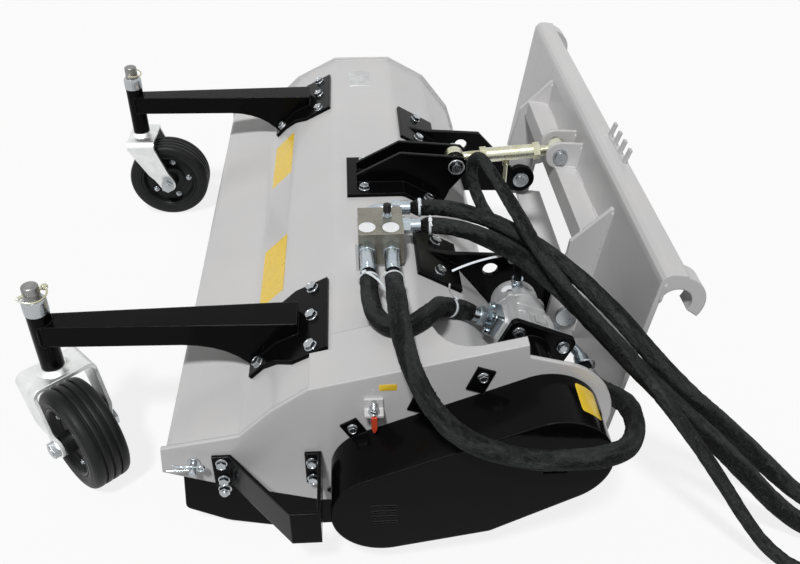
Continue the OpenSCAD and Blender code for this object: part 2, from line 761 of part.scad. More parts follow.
// Motor console: bearing tube from the side plate to the motor plate, stayed on the hood
mount_x = -half + 170;
mount_t = 12;
console_r = 41;
module motor_mount() {
    web = [[-120, deck_h], motor_c + [20, 50], motor_c + [-45, -30], tail + [-2, 0], crest - [40, 60]];
    color([0.06, 0.06, 0.06]) difference() {
        union() {
            rod_x(-inner, mount_x - mount_t, motor_c, console_r);
            difference() {
                along_x(-half + 70, -half + 82) polygon(web);
                hood_core();
            }
            difference() {
                translate([mount_x - mount_t, motor_c[0], motor_c[1]]) rotate([motor_turn, 0, 0])
                    along_x(0, mount_t) translate([motor_off, 0]) pad(132, 116, 12);
                hood_core();
            }
        }
        rod_x(-inner + 20, mount_x - mount_t - 14, motor_c, console_r - 10);
        rod_x(-inner - 1, mount_x + 1, motor_c, shaft_r + run_gap);
        at_motor_bolts() rod_x(mount_x - mount_t - 1, mount_x + 1, [0, 0], bolt_hole_r);
    }
}

// Children in the motor's own frame: X along the shaft from the plate, turned about it
module at_motor() {
    translate([mount_x, motor_c[0], motor_c[1]]) rotate([motor_turn, 0, 0]) children();
}
module at_motor_bolts() {
    for (y = [-46, 46], z = [-37, 37])
        translate([0, motor_c[0], motor_c[1]]) rotate([motor_turn, 0, 0]) translate([0, motor_off + y, z]) children();
}
motor_off = -8;
flange_t = 16;
body_l = 82;
cover_l = 64;
port_x = flange_t + 41;
body_half = 49;

module motor_bolts() {
    color("gainsboro") at_motor_bolts() {
        rod_x(mount_x - mount_t, mount_x + flange_t, [0, 0], bolt_r);
        hex_x(mount_x - mount_t - 8, mount_x - mount_t, [0, 0], 11);
    }
}
module motor_body() {
    color("silver") at_motor() {
        difference() {
            along_x(0, flange_t) translate([motor_off, 0]) pad(116, 100, 14);
            for (y = [-46, 46], z = [-37, 37])
                rod_x(-1, flange_t + 1, [motor_off + y, z], bolt_hole_r);
        }
        along_x(flange_t, flange_t + body_l) pad(2 * body_half, 92, 20);
        for (s = [-1, 1])
            translate([port_x - 27, s > 0 ? body_half - 12 : -body_half - 3, -27]) cube([54, 15, 54]);
    }
}
module motor_cover() {
    x0 = flange_t + body_l;
    color("lightgray") at_motor() {
        along_x(x0, x0 + 10) wrap([[0, 0, 49], [0, 1, 49]]);
        translate([x0 + 10, 0, 0]) rotate([0, 90, 0]) rotate_extrude()
            polygon(concat([[0, 0], [46, 0], [46, cover_l - 24]],
                curve([46, cover_l - 24], [46, cover_l - 10], [34, cover_l - 10], 5), [[0, cover_l - 10]]));
        for (a = [45 : 90 : 315])
            rotate([a, 0, 0]) translate([x0 + 10, 0, 42]) rotate([0, 90, 0]) cylinder(h = 10, r = 7);
    }
}

// Pipe bend of a quarter turn from +Y round to -X, of radius r about [-r, 0] in plan
module elbow(r, pipe) {
    translate([-r, 0, 0]) rotate_extrude(angle = 90) translate([r, 0]) circle(pipe);
}
port_out = body_half + 3;
pipe_r = 10;
elbow_r = 32;
drain_x = flange_t + body_l + 32;
module motor_fittings() {
    color("gainsboro") at_motor() {
        for (s = [-1, 1])
            translate([port_x, 0, 0]) rotate([s > 0 ? 0 : 180, 0, 0]) translate([0, port_out, 0])
                rotate([-90, 0, 0]) {
                    linear_extrude(16) pad(50, 50, 8);
                    for (x = [-17, 17], y = [-17, 17])
                        translate([x, y, 16]) cylinder(h = 7, r = 6);
                    translate([0, 0, 16]) cylinder(h = 10, r = 13);
                }
        translate([port_x, port_out + 26, 0]) rotate([-90, 0, 0]) {
            cylinder(h = 14, r = 18, $fn = 6);
            translate([0, 0, 14]) cylinder(h = 12, r = hose_r);
        }
        translate([port_x, -port_out - 26, 0]) {
            rotate([90, 0, 0]) cylinder(h = 14, r = 17, $fn = 6);
            translate([0, -14, 0]) mirror([0, 1, 0]) elbow(elbow_r, pipe_r);
            translate([-elbow_r, -14 - elbow_r, 0]) rotate([0, -90, 0]) cylinder(h = 26, r = hose_r);
        }
    }
    color("gainsboro") translate([mount_x + drain_x, motor_c[0], motor_c[1]]) difference() {
        union() {
            cylinder(h = 54, r = 9);
            translate([0, 0, 49]) cylinder(h = 8, r = 12, $fn = 6);
            translate([0, 0, 57]) cylinder(h = 8, r = drain_r);
        }
        rotate([0, 90, 0]) cylinder(h = 60, r = 46, center = true);
    }
}

// Valve block on its bracket beside the middle bracket
block = [-half + 325, -58, deck_h + 10];
block_size = [95, 86, 68];
port_z = block[2] + 38;
near_ports = [12, -33];
far_port = 10;
rear_port_x = -272;
module valve_bracket() {
    color("lightgray") {
        translate([block[0] + 5, block[1] + 8, deck_h]) cube([block_size[0] - 10, block_size[1] - 8, 10]);
        translate([block[0] - 7, block[1] + block_size[1], deck_h]) cube([90, 6, 62]);
    }
}
module valve_block() {
    color("lightgray") translate(block) cube(block_size);
}
module block_fittings() {
    pipe_end = block[0] + block_size[0] + 12 + elbow_r;
    color("gainsboro") {
        for (y = near_ports) {
            hex_x(block[0] - 20, block[0], [y, port_z], 17);
            rod_x(block[0] - 80, block[0] - 20, [y, port_z], hose_r);
        }
        hex_x(block[0] + block_size[0], block[0] + block_size[0] + 12, [far_port, port_z], 15);
        translate([pipe_end - elbow_r, far_port - elbow_r, port_z]) rotate_extrude(angle = 90)
            translate([elbow_r, 0]) circle(pipe_r);
        translate([pipe_end, far_port - elbow_r, port_z]) rotate([90, 0, 0]) {
            cylinder(h = 20, r = pipe_r);
            translate([0, 0, 20]) cylinder(h = 16, r = 17, $fn = 6);
            translate([0, 0, 36]) cylinder(h = 20, r = hose_r);
        }
        translate([rear_port_x, block[1], port_z]) rotate([90, 0, 0]) {
            cylinder(h = 16, r = 16, $fn = 6);
            translate([0, 0, 16]) cylinder(h = 20, r = hose_r);
        }
    }
}

// Hoses: tubes swept along routes of hand-set points [x, y, z]
press_route = [[-425, 12, 398], [-450, 12, 398], [-495, 11, 396], [-540, 4, 394], [-572, -16, 396],
    [-584, -46, 400], [-572, -78, 411], [-545, -98, 405], [-505, -108, 379], [-472, -118, 353],
    [-450, -138, 332], [-443, -160, 321.2], [-443, -180, 312.3]];
return_route = [[-425, -33, 398], [-450, -33, 398], [-500, -33, 412], [-545, -33, 426],
    [-585, -33, 433], [-630, -35, 431], [-680, -42, 420], [-725, -57, 401], [-763, -81, 377],
    [-791, -116, 355], [-808, -161, 338], [-816, -212, 327], [-817, -258, 320], [-814, -302, 317],
    [-809, -344, 317], [-792, -380, 317], [-757, -401, 314], [-715, -410, 306], [-675, -412, 292],
    [-637, -408, 272], [-602, -400, 251], [-570, -393.5, 234], [-541, -389.5, 223.5],
    [-519, -388.3, 219.6], [-501, -388.3, 219.6]];
feed_route = [[-206, -78, 398], [-206, -98, 398], [-209, -124, 399], [-221, -157, 402.5],
    [-250.3, -197.3, 407.2], [-291.7, -242.2, 409.9], [-347.4, -287.8, 410.3], [-410.5, -327.6, 410],
    [-472.6, -360.2, 409], [-529, -387.4, 405.3], [-577.7, -412.5, 395.9], [-617.6, -438.7, 378.1],
    [-647, -469.4, 351], [-664.6, -506.6, 315.2], [-671.9, -550.7, 271.9], [-674.4, -600.8, 222.8],
    [-678.7, -653.8, 170.4], [-687.1, -706, 118.5], [-696, -755.3, 72.8], [-703.6, -803.2, 40.1],
    [-713.6, -853.1, 17], [-726.9, -905.8, 16.5], [-741, -960, 16.5]];
back_route = [[-272, -94, 398], [-272, -113, 398], [-276, -137, 398.3], [-291, -171, 399],
    [-321.1, -211.3, 399.8], [-360.7, -251.4, 399.1], [-411.2, -288.5, 397.2], [-467.6, -320.2, 394.5],
    [-523.6, -347.4, 390.4], [-575.1, -372.4, 383.5], [-620.3, -398.1, 371.8], [-657.2, -427.1, 353.4],
    [-683.9, -462, 326.6], [-701, -504, 290.2], [-712.1, -552.1, 243.9], [-722.4, -604, 190.6],
    [-733, -655.8, 135.8], [-740.3, -704.4, 85.2], [-745.3, -751.5, 46.2], [-753.8, -801.7, 24.7],
    [-766.4, -853.6, 17], [-779, -901.7, 16.5], [-790, -945, 16.5]];
drain_route = [[-370, -275, 335], [-370, -275, 345], [-365, -274.5, 356], [-350, -272, 366],
    [-325, -268, 372], [-290, -260, 374], [-250, -248, 375], [-205, -231, 384], [-172, -215, 412],
    [-160, -206, 450], [-168, -209, 481], [-194, -219, 497], [-232.9, -236.2, 486.5],
    [-278.9, -254.5, 470.8], [-333.7, -272.5, 453.1], [-393.2, -289.6, 438.5], [-452.7, -307.1, 427.9],
    [-510.7, -326.4, 419.7], [-565.8, -348.1, 412.2], [-616.6, -372.5, 402.5], [-660.6, -400.2, 386.7],
    [-695.4, -431.9, 361], [-721.1, -467.2, 324.1], [-739.8, -505.1, 277.2], [-754, -544.5, 223.1],
    [-766.5, -584.8, 164], [-781.2, -624.8, 104.8], [-799.3, -665, 55.7], [-818, -707.8, 26.3],
    [-834.1, -753.1, 13], [-846.6, -797.1, 12.5], [-857, -838, 12.5]];
hose_sides = 8;
function sub(a, i) = a[max(0, min(len(a) - 1, i))];
function heading(p, i) = unit(sub(p, i + 1) - sub(p, i - 1));
function side_of(t) = unit(cross(t, abs(t[2]) > 0.9 ? [1, 0, 0] : [0, 0, 1]));
function hose_ring(p, i, r) =
    let (t = heading(p, i), u = side_of(t), v = cross(u, t))
    [for (k = [0 : hose_sides - 1])
        p[i] + r * (cos((k + 0.5) * 360 / hose_sides) * u + sin((k + 0.5) * 360 / hose_sides) * v)];
module hose(p, r) {
    n = len(p);
    s = hose_sides;
    polyhedron([for (i = [0 : n - 1]) each hose_ring(p, i, r)], concat(
        [[for (k = [0 : s - 1]) k]],
        [for (i = [0 : n - 2], k = [0 : s - 1]) each
            [[i * s + k, (i + 1) * s + k, (i + 1) * s + (k + 1) % s],
             [i * s + k, (i + 1) * s + (k + 1) % s, i * s + (k + 1) % s]]],
        [[for (k = [s - 1 : -1 : 0]) (n - 1) * s + k]]));
}
module pressure_hose() { color([0.1, 0.1, 0.1]) hose(press_route, sleeve_r); }
module return_hose() { color([0.1, 0.1, 0.1]) hose(return_route, sleeve_r); }
module feed_hose() { color([0.1, 0.1, 0.1]) hose(feed_route, sleeve_r); }
module back_hose() { color([0.1, 0.1, 0.1]) hose(back_route, sleeve_r); }
module drain_hose() { color([0.1, 0.1, 0.1]) hose(drain_route, drain_sleeve_r); }

// Quick coupler on the end of each free hose
module coupler(p, r) {
    last = len(p) - 1;
    t = unit(p[last] - p[last - 1]);
    translate(p[last]) rotate([90, 0, atan2(t[1], t[0]) + 90]) {
        cylinder(h = 24, r = r - 1);
        translate([0, 0, 24]) cylinder(h = 14, r = r, $fn = 6);
        translate([0, 0, 38]) cylinder(h = 34, r = r - 3);
        translate([0, 0, 72]) cylinder(h = 14, r = r - 5.5);
    }
}
module hose_couplers() {
    color("gainsboro") {
        coupler(feed_route, hose_r);
        coupler(back_route, hose_r);
        coupler(drain_route, drain_r);
    }
}

// Headstock: outer brackets carry the hitch pivots, the middle one the top link
pivot_c = [-pivot_back, pivot_h];
upright_x = leg_x - 28;
upright_t = 12;
link_c = [-190, deck_h + 46];
link_pin_r = 10;
ear_x = 23;
module headstock(side) {
    foot = [mix(crest, haunch, 0.1), mix(crest, haunch, 0.98)];
    web = [[-85, deck_h - 4], [-150, deck_h - 22], [-284, deck_h - 32], pivot_c + [22, 29], pivot_c + [11, -34],
           heel + [-10, -45], heel + [60, 0]];
    boss_end = leg_x - hitch_t / 2 - seat_gap;
    color([0.07, 0.07, 0.07]) mirror([side < 0 ? 1 : 0, 0, 0]) difference() {
        union() {
            along_x(foot_x[0] - 26, foot_x[1] + 30) polygon(band(foot, -bracket_t));
            difference() {
                along_x(upright_x - upright_t / 2, upright_x + upright_t / 2) {
                    polygon(web);
                    translate(pivot_c) circle(36);
                }
                hood_core();
            }
            rod_x(upright_x, boss_end, pivot_c, 28);
        }
        rod_x(upright_x - 10, boss_end + 1, pivot_c, pivot_r + run_gap);
        rod_x(upright_x - 10, upright_x + 10, [-239, deck_h - 63], 16);
        at_headstock_bolts() translate([0, 0, -40]) cylinder(h = 60, r = bolt_hole_r);
    }
}
module headstock_left() { headstock(-1); }
module headstock_right() { headstock(1); }

module headstock_centre() {
    foot = [[48, deck_h], crest, mix(crest, haunch, 0.85)];
    cheek = [[26, deck_h], [26, deck_h + 26], [-69, deck_h + 76], link_c + [-16, 16], link_c + [-26, 6],
             link_c + [-26, -18], link_c + [10, -62], haunch + [20, -30]];
    color([0.07, 0.07, 0.07]) difference() {
        union() {
            along_x(-82, 82) polygon(band(foot, -bracket_t));
            difference() {
                for (s = [-1, 1])
                    along_x(s * (ear_x + 4) - 4, s * (ear_x + 4) + 4) polygon(cheek);
                hood_core();
            }
        }
        rod_x(-60, 60, link_c, link_pin_r + run_gap);
        at_headstock_bolts() translate([0, 0, -40]) cylinder(h = 60, r = bolt_hole_r);
    }
}
module headstock_bolts() {
    color("gainsboro") at_headstock_bolts() bolt(bracket_t + hood_t);
}

// Pivot pins of the hitch and the front pin of the top link, with their spring rings
module linkage_pins() {
    out = leg_x + hitch_t / 2;
    in = upright_x - upright_t / 2;
    cheek_out = ear_x + 8;
    color("gainsboro") {
        for (side = [-1, 1]) mirror([side < 0 ? 1 : 0, 0, 0]) {
            rod_x(in - 14, out + seat_gap, pivot_c, pivot_r);
            rod_x(out + seat_gap, out + 10, pivot_c, pivot_r + 8);
            rod_x(in - 8, in, pivot_c, pivot_r + 6);
        }
        rod_x(-cheek_out - 20, cheek_out, link_c, link_pin_r);
        rod_x(cheek_out, cheek_out + 7, link_c, link_pin_r + 6);
        translate([-cheek_out - 12, link_c[0], link_c[1]]) rotate([0, 90, 0])
            rotate_extrude() translate([link_pin_r + 6, 0]) circle(2, $fn = 16);
        translate([-cheek_out - 12, link_c[0], link_c[1] + link_pin_r])
            cylinder(h = 6, r = 2);
    }
}

// Hitch in its own frame: origin at the lower pivot, leaning back by hitch_lean
module at_hitch() {
    translate([0, pivot_c[0], pivot_c[1]]) rotate([hitch_lean, 0, 0]) children();
}
weld = 1;
face_y = -28.5;
face_top = 299;
face_low = -60;
bar_top = 202;
bar_h = 40;
bar_front = 20;
link_rear_r = 12;
slot_play = 3;
hook_c = [face_y - hitch_t - hook_r, face_top - 46];
hook_t = 24;
// Rear pin of the top link in the hitch's frame, and in the side view
link_rear_h = [13.8, bar_top + 25.3];
link_rear = pivot_c + [link_rear_h[0] * cos(hitch_lean) - link_rear_h[1] * sin(hitch_lean),
                       link_rear_h[0] * sin(hitch_lean) + link_rear_h[1] * cos(hitch_lean)];
clevis_x = 26;
comb_x = [-200, -77];
comb_teeth = 4;
tooth_w = 11;
lug_hole = [face_y - hitch_t - 42, -8];
lug_x = 430;

module hitch_face() {
    half_w = hitch_w / 2;
    beam = soften([[face_y - hitch_t, face_low], [face_y - hitch_t, face_top],
                   [face_y - hitch_t - 34, face_top]], 12);
    difference() {
        along_x(-half_w, half_w) polygon(band(beam, -hitch_t));
        along_x(-leg_x + hitch_t / 2, leg_x - hitch_t / 2)
            polygon([[face_y - 40, face_low + 10], [face_y + 5, face_low + 10], [face_y + 5, bar_top - bar_h - 12],
                     [face_y - 40, bar_top - bar_h - 12]]);
    }
}
module hitch_leg() {
    along_x(leg_x - hitch_t / 2, leg_x + hitch_t / 2) difference() {
        polygon([[face_y - weld, 262], [face_y - weld, face_low], [22, face_low], [40, -30], [41, 85], [36, 152],
                 [37, 180], [face_y + 4, 262]]);
        circle(pivot_r + run_gap);
    }
}
module hitch_hook() {
    half_w = hitch_w / 2;
    tip = 208;
    far = 200;
    along_x(half_w - hook_w, half_w) intersection() {
        translate(hook_c) difference() {
            circle(hook_r + hook_t);
            circle(hook_r);
            polygon([[0, 0], far * [cos(tip), sin(tip)], [0, -far], [far, -far], [far, 0]]);
        }
        translate([face_y - hitch_t + weld - far, 0]) square([far, 2 * far]);
    }
}
module hitch_clevis() {
    top = link_rear_h;
    along_x(clevis_x, clevis_x + 8) difference() {
        union() {
            translate(top) circle(31);
            polygon([[face_y - weld, bar_top - 2], [top[0] + 6, bar_top - 2], [top[0], top[1] + 31],
                     [face_y - weld, top[1] + 34]]);
        }
        wrap([[top[0], top[1] - slot_play, link_rear_r + 0.6], [top[0], top[1] + slot_play, link_rear_r + 0.6]]);
    }
}
module hitch_comb() {
    step = (comb_x[1] - comb_x[0] - tooth_w) / (comb_teeth - 1);
    translate([0, face_y - hitch_t - 20, face_top + hitch_t / 2]) rotate([99, 0, 0]) linear_extrude(6) {
        translate([comb_x[0], -3]) square([comb_x[1] - comb_x[0], 12]);
        for (i = [0 : comb_teeth - 1])
            translate([comb_x[0] + i * step, 5]) square([tooth_w, 32]);
    }
}
module hitch_frame() {
    color("silver") at_hitch() {
        hitch_face();
        translate([-leg_x, face_y - weld, bar_top - bar_h])
            cube([2 * leg_x, bar_front - face_y + weld, bar_h]);
        translate([-leg_x, face_y - 42, face_low]) cube([2 * leg_x, 64, hitch_t]);
        hitch_comb();
        for (s = [0, 1]) mirror([s, 0, 0]) {
            hitch_leg();
            hitch_hook();
            hitch_clevis();
            along_x(lug_x, lug_x + 15) difference() {
                wrap([[lug_hole[0], lug_hole[1], 32], [face_y - hitch_t + 2, lug_hole[1] - 44, 2],
                      [face_y - hitch_t + 2, lug_hole[1] + 44, 2]]);
                translate(lug_hole) circle(lock_r);
                translate([face_y - hitch_t + weld, -200]) square([30, 400]);
            }
        }
    }
}

// Top link: two rod ends in a turnbuckle tube, drawn along its own axis from the front pin
link_len = norm(link_rear - link_c);
link_pitch = atan2(link_rear[1] - link_c[1], link_c[0] - link_rear[0]);
eye_r = 22;
eye_w = 24;
stud_r = 11;
tube_from = 57;
tube_to = link_len - 40;
module at_link() {
    translate([0, link_c[0], link_c[1]]) rotate([-link_pitch, 0, 0]) mirror([0, 1, 0]) children();
}
module rod_end(bore, from, to) {
    difference() {
        union() {
            rod_x(-eye_w / 2, eye_w / 2, [0, 0], eye_r);
            translate([0, from, 0]) rotate([-90, 0, 0]) cylinder(h = to - from, r = stud_r);
        }
        rod_x(-eye_w, eye_w, [0, 0], bore);
    }
}
module link_front_rod() {
    color([0.85, 0.78, 0.5]) at_link() rod_end(link_pin_r + run_gap, 15, 98);
}
module link_tube() {
    tube_r = 16;
    color([0.85, 0.78, 0.5]) at_link() difference() {
        union() {
            translate([0, tube_from, 0]) rotate([-90, 0, 0]) cylinder(h = tube_to - tube_from, r = tube_r);
            for (y = [tube_from, tube_to - 14])
                translate([0, y, 0]) rotate([-90, 0, 0]) cylinder(h = 14, r = 19, $fn = 6);
            translate([-4, handle_at - 8, -tube_r - 12]) cube([8, 16, 14]);
        }
        translate([0, tube_from - 1, 0]) rotate([-90, 0, 0])
            cylinder(h = tube_to - tube_from + 2, r = stud_r + seat_gap);
        rod_x(-9, 9, [handle_at, -handle_drop], 3 + run_gap);
    }
}
handle_at = 115;
handle_drop = 23;
module link_handle() {
    color([0.85, 0.78, 0.5]) at_link() translate([0, handle_at, -handle_drop]) rotate([-link_pitch, 0, 0]) {
        rod_x(-10, 10, [0, 0], 3);
        for (s = [-1, 1])
            translate([s * 7.5, 0, -60]) cylinder(h = 60, r = 3);
        translate([0, 0, -60]) rotate([-90, 0, 0]) rotate_extrude(angle = 180)
            translate([7.5, 0]) circle(3, $fn = 24);
    }
}
module link_rear_rod() {
    color([0.85, 0.78, 0.5]) at_link() translate([0, link_len, 0]) mirror([0, 1, 0])
        rod_end(link_rear_r + run_gap, 15, 70);
}
module link_rear_pin() {
    out = clevis_x + 8;
    color("gainsboro") {
        rod_x(-out - 10, out + seat_gap, link_rear, link_rear_r);
        rod_x(out + seat_gap, out + 8, link_rear, link_rear_r + 5);
        rod_x(-out - 5, -out - seat_gap, link_rear, link_rear_r + 4);
    }
}

// The origin is on the ground under the middle of the machine's outline
swing = abs(left_swivel);
front_end = max(post_y - trail + tyre_r, post_y - trail * cos(swing) + (tyre_r - 11) * cos(swing)
    + (tyre_w / 2 - 11) * sin(swing) + 11);
rear_end = pivot_c[0] + hook_c[0] * cos(hitch_lean) - hook_c[1] * sin(hitch_lean) - hook_r - hook_t;
origin = [(half + 36 - strip_out - strip_t) / 2, (front_end + rear_end) / 2, 0];
module placed() { translate(-origin) children(); }

placed() hood();
placed() side_plate_left();
placed() side_plate_right();
placed() skid_left();
placed() skid_right();
placed() skid_pins();
placed() side_guard();
placed() wheel_arm_left();
placed() wheel_arm_right();
placed() arm_bolts();
placed() castor_fork_left();
placed() castor_collar_left();
placed() castor_axle_left();
placed() wheel_rim_left();
placed() wheel_tyre_left();
placed() castor_fork_right();
placed() castor_collar_right();
placed() castor_axle_right();
placed() wheel_rim_right();
placed() wheel_tyre_right();
placed() rotor();
placed() flail_bolts();
placed() flail_row_1();
placed() flail_row_2();
placed() flail_row_3();
placed() flail_row_4();
placed() rotor_bearings();
placed() rotor_pulley();
placed() motor_pulley();
placed() v_belts();
placed() drive_shaft();
placed() belt_guard();
placed() guard_bolts();
placed() belt_tensioner();
placed() motor_mount();
placed() motor_bolts();
placed() motor_body();
placed() motor_cover();
placed() motor_fittings();
placed() valve_bracket();
placed() valve_block();
placed() block_fittings();
placed() pressure_hose();
placed() return_hose();
placed() feed_hose();
placed() back_hose();
placed() drain_hose();
placed() hose_couplers();
placed() headstock_left();
placed() headstock_centre();
placed() headstock_right();
placed() headstock_bolts();
placed() linkage_pins();
placed() hitch_frame();
placed() link_front_rod();
placed() link_tube();
placed() link_handle();
placed() link_rear_rod();
placed() link_rear_pin();
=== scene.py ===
"""Looks of a hydraulic flail mower: camera, studio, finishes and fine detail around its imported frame."""

import json
import logging
import math
from abc import ABC, abstractmethod
from collections.abc import Iterable, Sequence
from dataclasses import dataclass
from enum import Enum, IntEnum, StrEnum

import bmesh
import bpy
from mathutils import Matrix, Vector, noise


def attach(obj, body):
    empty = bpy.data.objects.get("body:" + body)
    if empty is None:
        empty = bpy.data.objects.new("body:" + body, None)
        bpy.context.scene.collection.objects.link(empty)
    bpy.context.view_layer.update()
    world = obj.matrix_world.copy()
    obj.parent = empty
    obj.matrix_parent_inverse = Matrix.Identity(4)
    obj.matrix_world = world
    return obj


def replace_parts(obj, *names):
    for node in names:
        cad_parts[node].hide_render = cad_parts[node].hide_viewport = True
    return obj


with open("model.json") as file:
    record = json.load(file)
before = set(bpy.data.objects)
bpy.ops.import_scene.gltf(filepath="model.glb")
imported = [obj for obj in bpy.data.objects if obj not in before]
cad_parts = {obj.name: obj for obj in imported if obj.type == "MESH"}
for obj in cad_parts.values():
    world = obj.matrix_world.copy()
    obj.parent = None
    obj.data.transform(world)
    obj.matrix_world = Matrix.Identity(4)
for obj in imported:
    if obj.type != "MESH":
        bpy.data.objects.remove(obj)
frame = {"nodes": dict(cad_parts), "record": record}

LOG = logging.getLogger("flail_mower")

Point = tuple[float, float, float]
Colour = tuple[float, float, float]
Pair = tuple[float, float]
Seat = tuple[Point, Point]
Ring = list[bmesh.types.BMVert]
Socket = bpy.types.NodeSocket
Feed = Socket | float | Sequence[float]

MM = 0.001
FRAME_SHIFT = Vector((49.0, -49.8796, 0.0))
SIDEWAYS, AHEAD, UPWARD = Vector((1, 0, 0)), Vector((0, 1, 0)), Vector((0, 0, 1))
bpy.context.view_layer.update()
HOSE_STEP = 0.0032
ARM_X, POST_Y = 468.0, 597.0
LEFT_SWIVEL = math.radians(-48.0)
MOTOR_AXIS = (-275.0, 270.0)
MOTOR_TURN = math.radians(24.0)
HITCH_PIVOT = (-400.0, 185.0)
HITCH_LEAN = math.radians(8.0)


class Body(StrEnum):
    """CAD bodies that carry the added pieces."""

    DECK = "deck"
    HITCH = "hitch"
    WHEEL_LEFT = "wheel_left"
    WHEEL_RIGHT = "wheel_right"
    CASTOR_LEFT = "castor_left"
    CASTOR_RIGHT = "castor_right"
    LINK_FRONT = "link_front"
    LINK_REAR = "link_rear"


class FarEnd(StrEnum):
    """What a hose ends in."""

    OBJECT = "object"
    CONNECTOR = "connector"


class Side(IntEnum):
    """The deck's two sides, as the sign of their sideways distance."""

    LEFT = -1
    RIGHT = 1


class Maths(Enum):
    """Ways to combine two values in a material."""

    PLUS = "ADD"
    MINUS = "SUBTRACT"
    TIMES = "MULTIPLY"
    LARGER = "MAXIMUM"
    SIZE = "ABSOLUTE"


class Axis(Enum):
    """Axes across the bands of a weave."""

    X = "X"
    Y = "Y"


def spot(x: float, y: float, z: float) -> Vector:
    """Turn a point of the part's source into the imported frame.

    Args:
        x: Sideways distance in millimetres.
        y: Distance ahead of the rotor in millimetres.
        z: Height in millimetres.

    Returns:
        The point in metres.
    """
    return (Vector((x, y, z)) + FRAME_SHIFT) * MM


def metres(profile: Iterable[Pair]) -> list[Pair]:
    """Turn a profile in millimetres into metres.

    Args:
        profile: Radius and height pairs.

    Returns:
        The pairs in metres.
    """
    return [(radius * MM, height * MM) for radius, height in profile]


def srgb(red: int, green: int, blue: int) -> Colour:
    """Turn display values from 0 to 255 into a linear colour.

    Args:
        red: Red value.
        green: Green value.
        blue: Blue value.

    Returns:
        The linear colour.
    """
    parts = []
    for value in (red / 255, green / 255, blue / 255):
        parts.append(value / 12.92 if value <= 0.04045 else ((value + 0.055) / 1.055) ** 2.4)
    return parts[0], parts[1], parts[2]


class Graph:
    """Builder for a node tree."""

    def __init__(self, tree: bpy.types.NodeTree) -> None:
        """Take on a node tree to fill."""
        self.tree = tree

    def node(self, kind: str, inputs: dict[str | int, Feed] | None = None, **settings: object) -> bpy.types.Node:
        """Add a node.

        Args:
            kind: Node type.
            inputs: Sockets to link or values to set, by input.
            settings: Properties of the node.

        Returns:
            The new node.
        """
        made = self.tree.nodes.new(kind)
        for key, value in settings.items():
            setattr(made, key, value)
        for key, value in (inputs or {}).items():
            self.feed(made.inputs[key], value)
        return made

    def feed(self, target: Socket, value: Feed) -> None:
        """Link or set an input.

        Args:
            target: Input socket.
            value: Output socket to link, or a constant.
        """
        if isinstance(value, bpy.types.NodeSocket):
            self.tree.links.new(value, target)
        elif isinstance(value, (int, float)):
            target.default_value = value
        else:
            size = len(target.default_value)
            target.default_value = (*value, 1.0)[:size]

    def span(self, value: Socket, low: float, high: float, start: float = 0.0, end: float = 1.0) -> Socket:
        """Map a value from one range to another, clamped."""
        ranges = {"From Min": low, "From Max": high, "To Min": start, "To Max": end}
        return self.node("ShaderNodeMapRange", {"Value": value, **ranges}).outputs["Result"]

    def sum(self, way: Maths, first: Socket | float, second: Socket | float) -> Socket:
        """Combine two values."""
        return self.node("ShaderNodeMath", {0: first, 1: second}, operation=way.value).outputs["Value"]


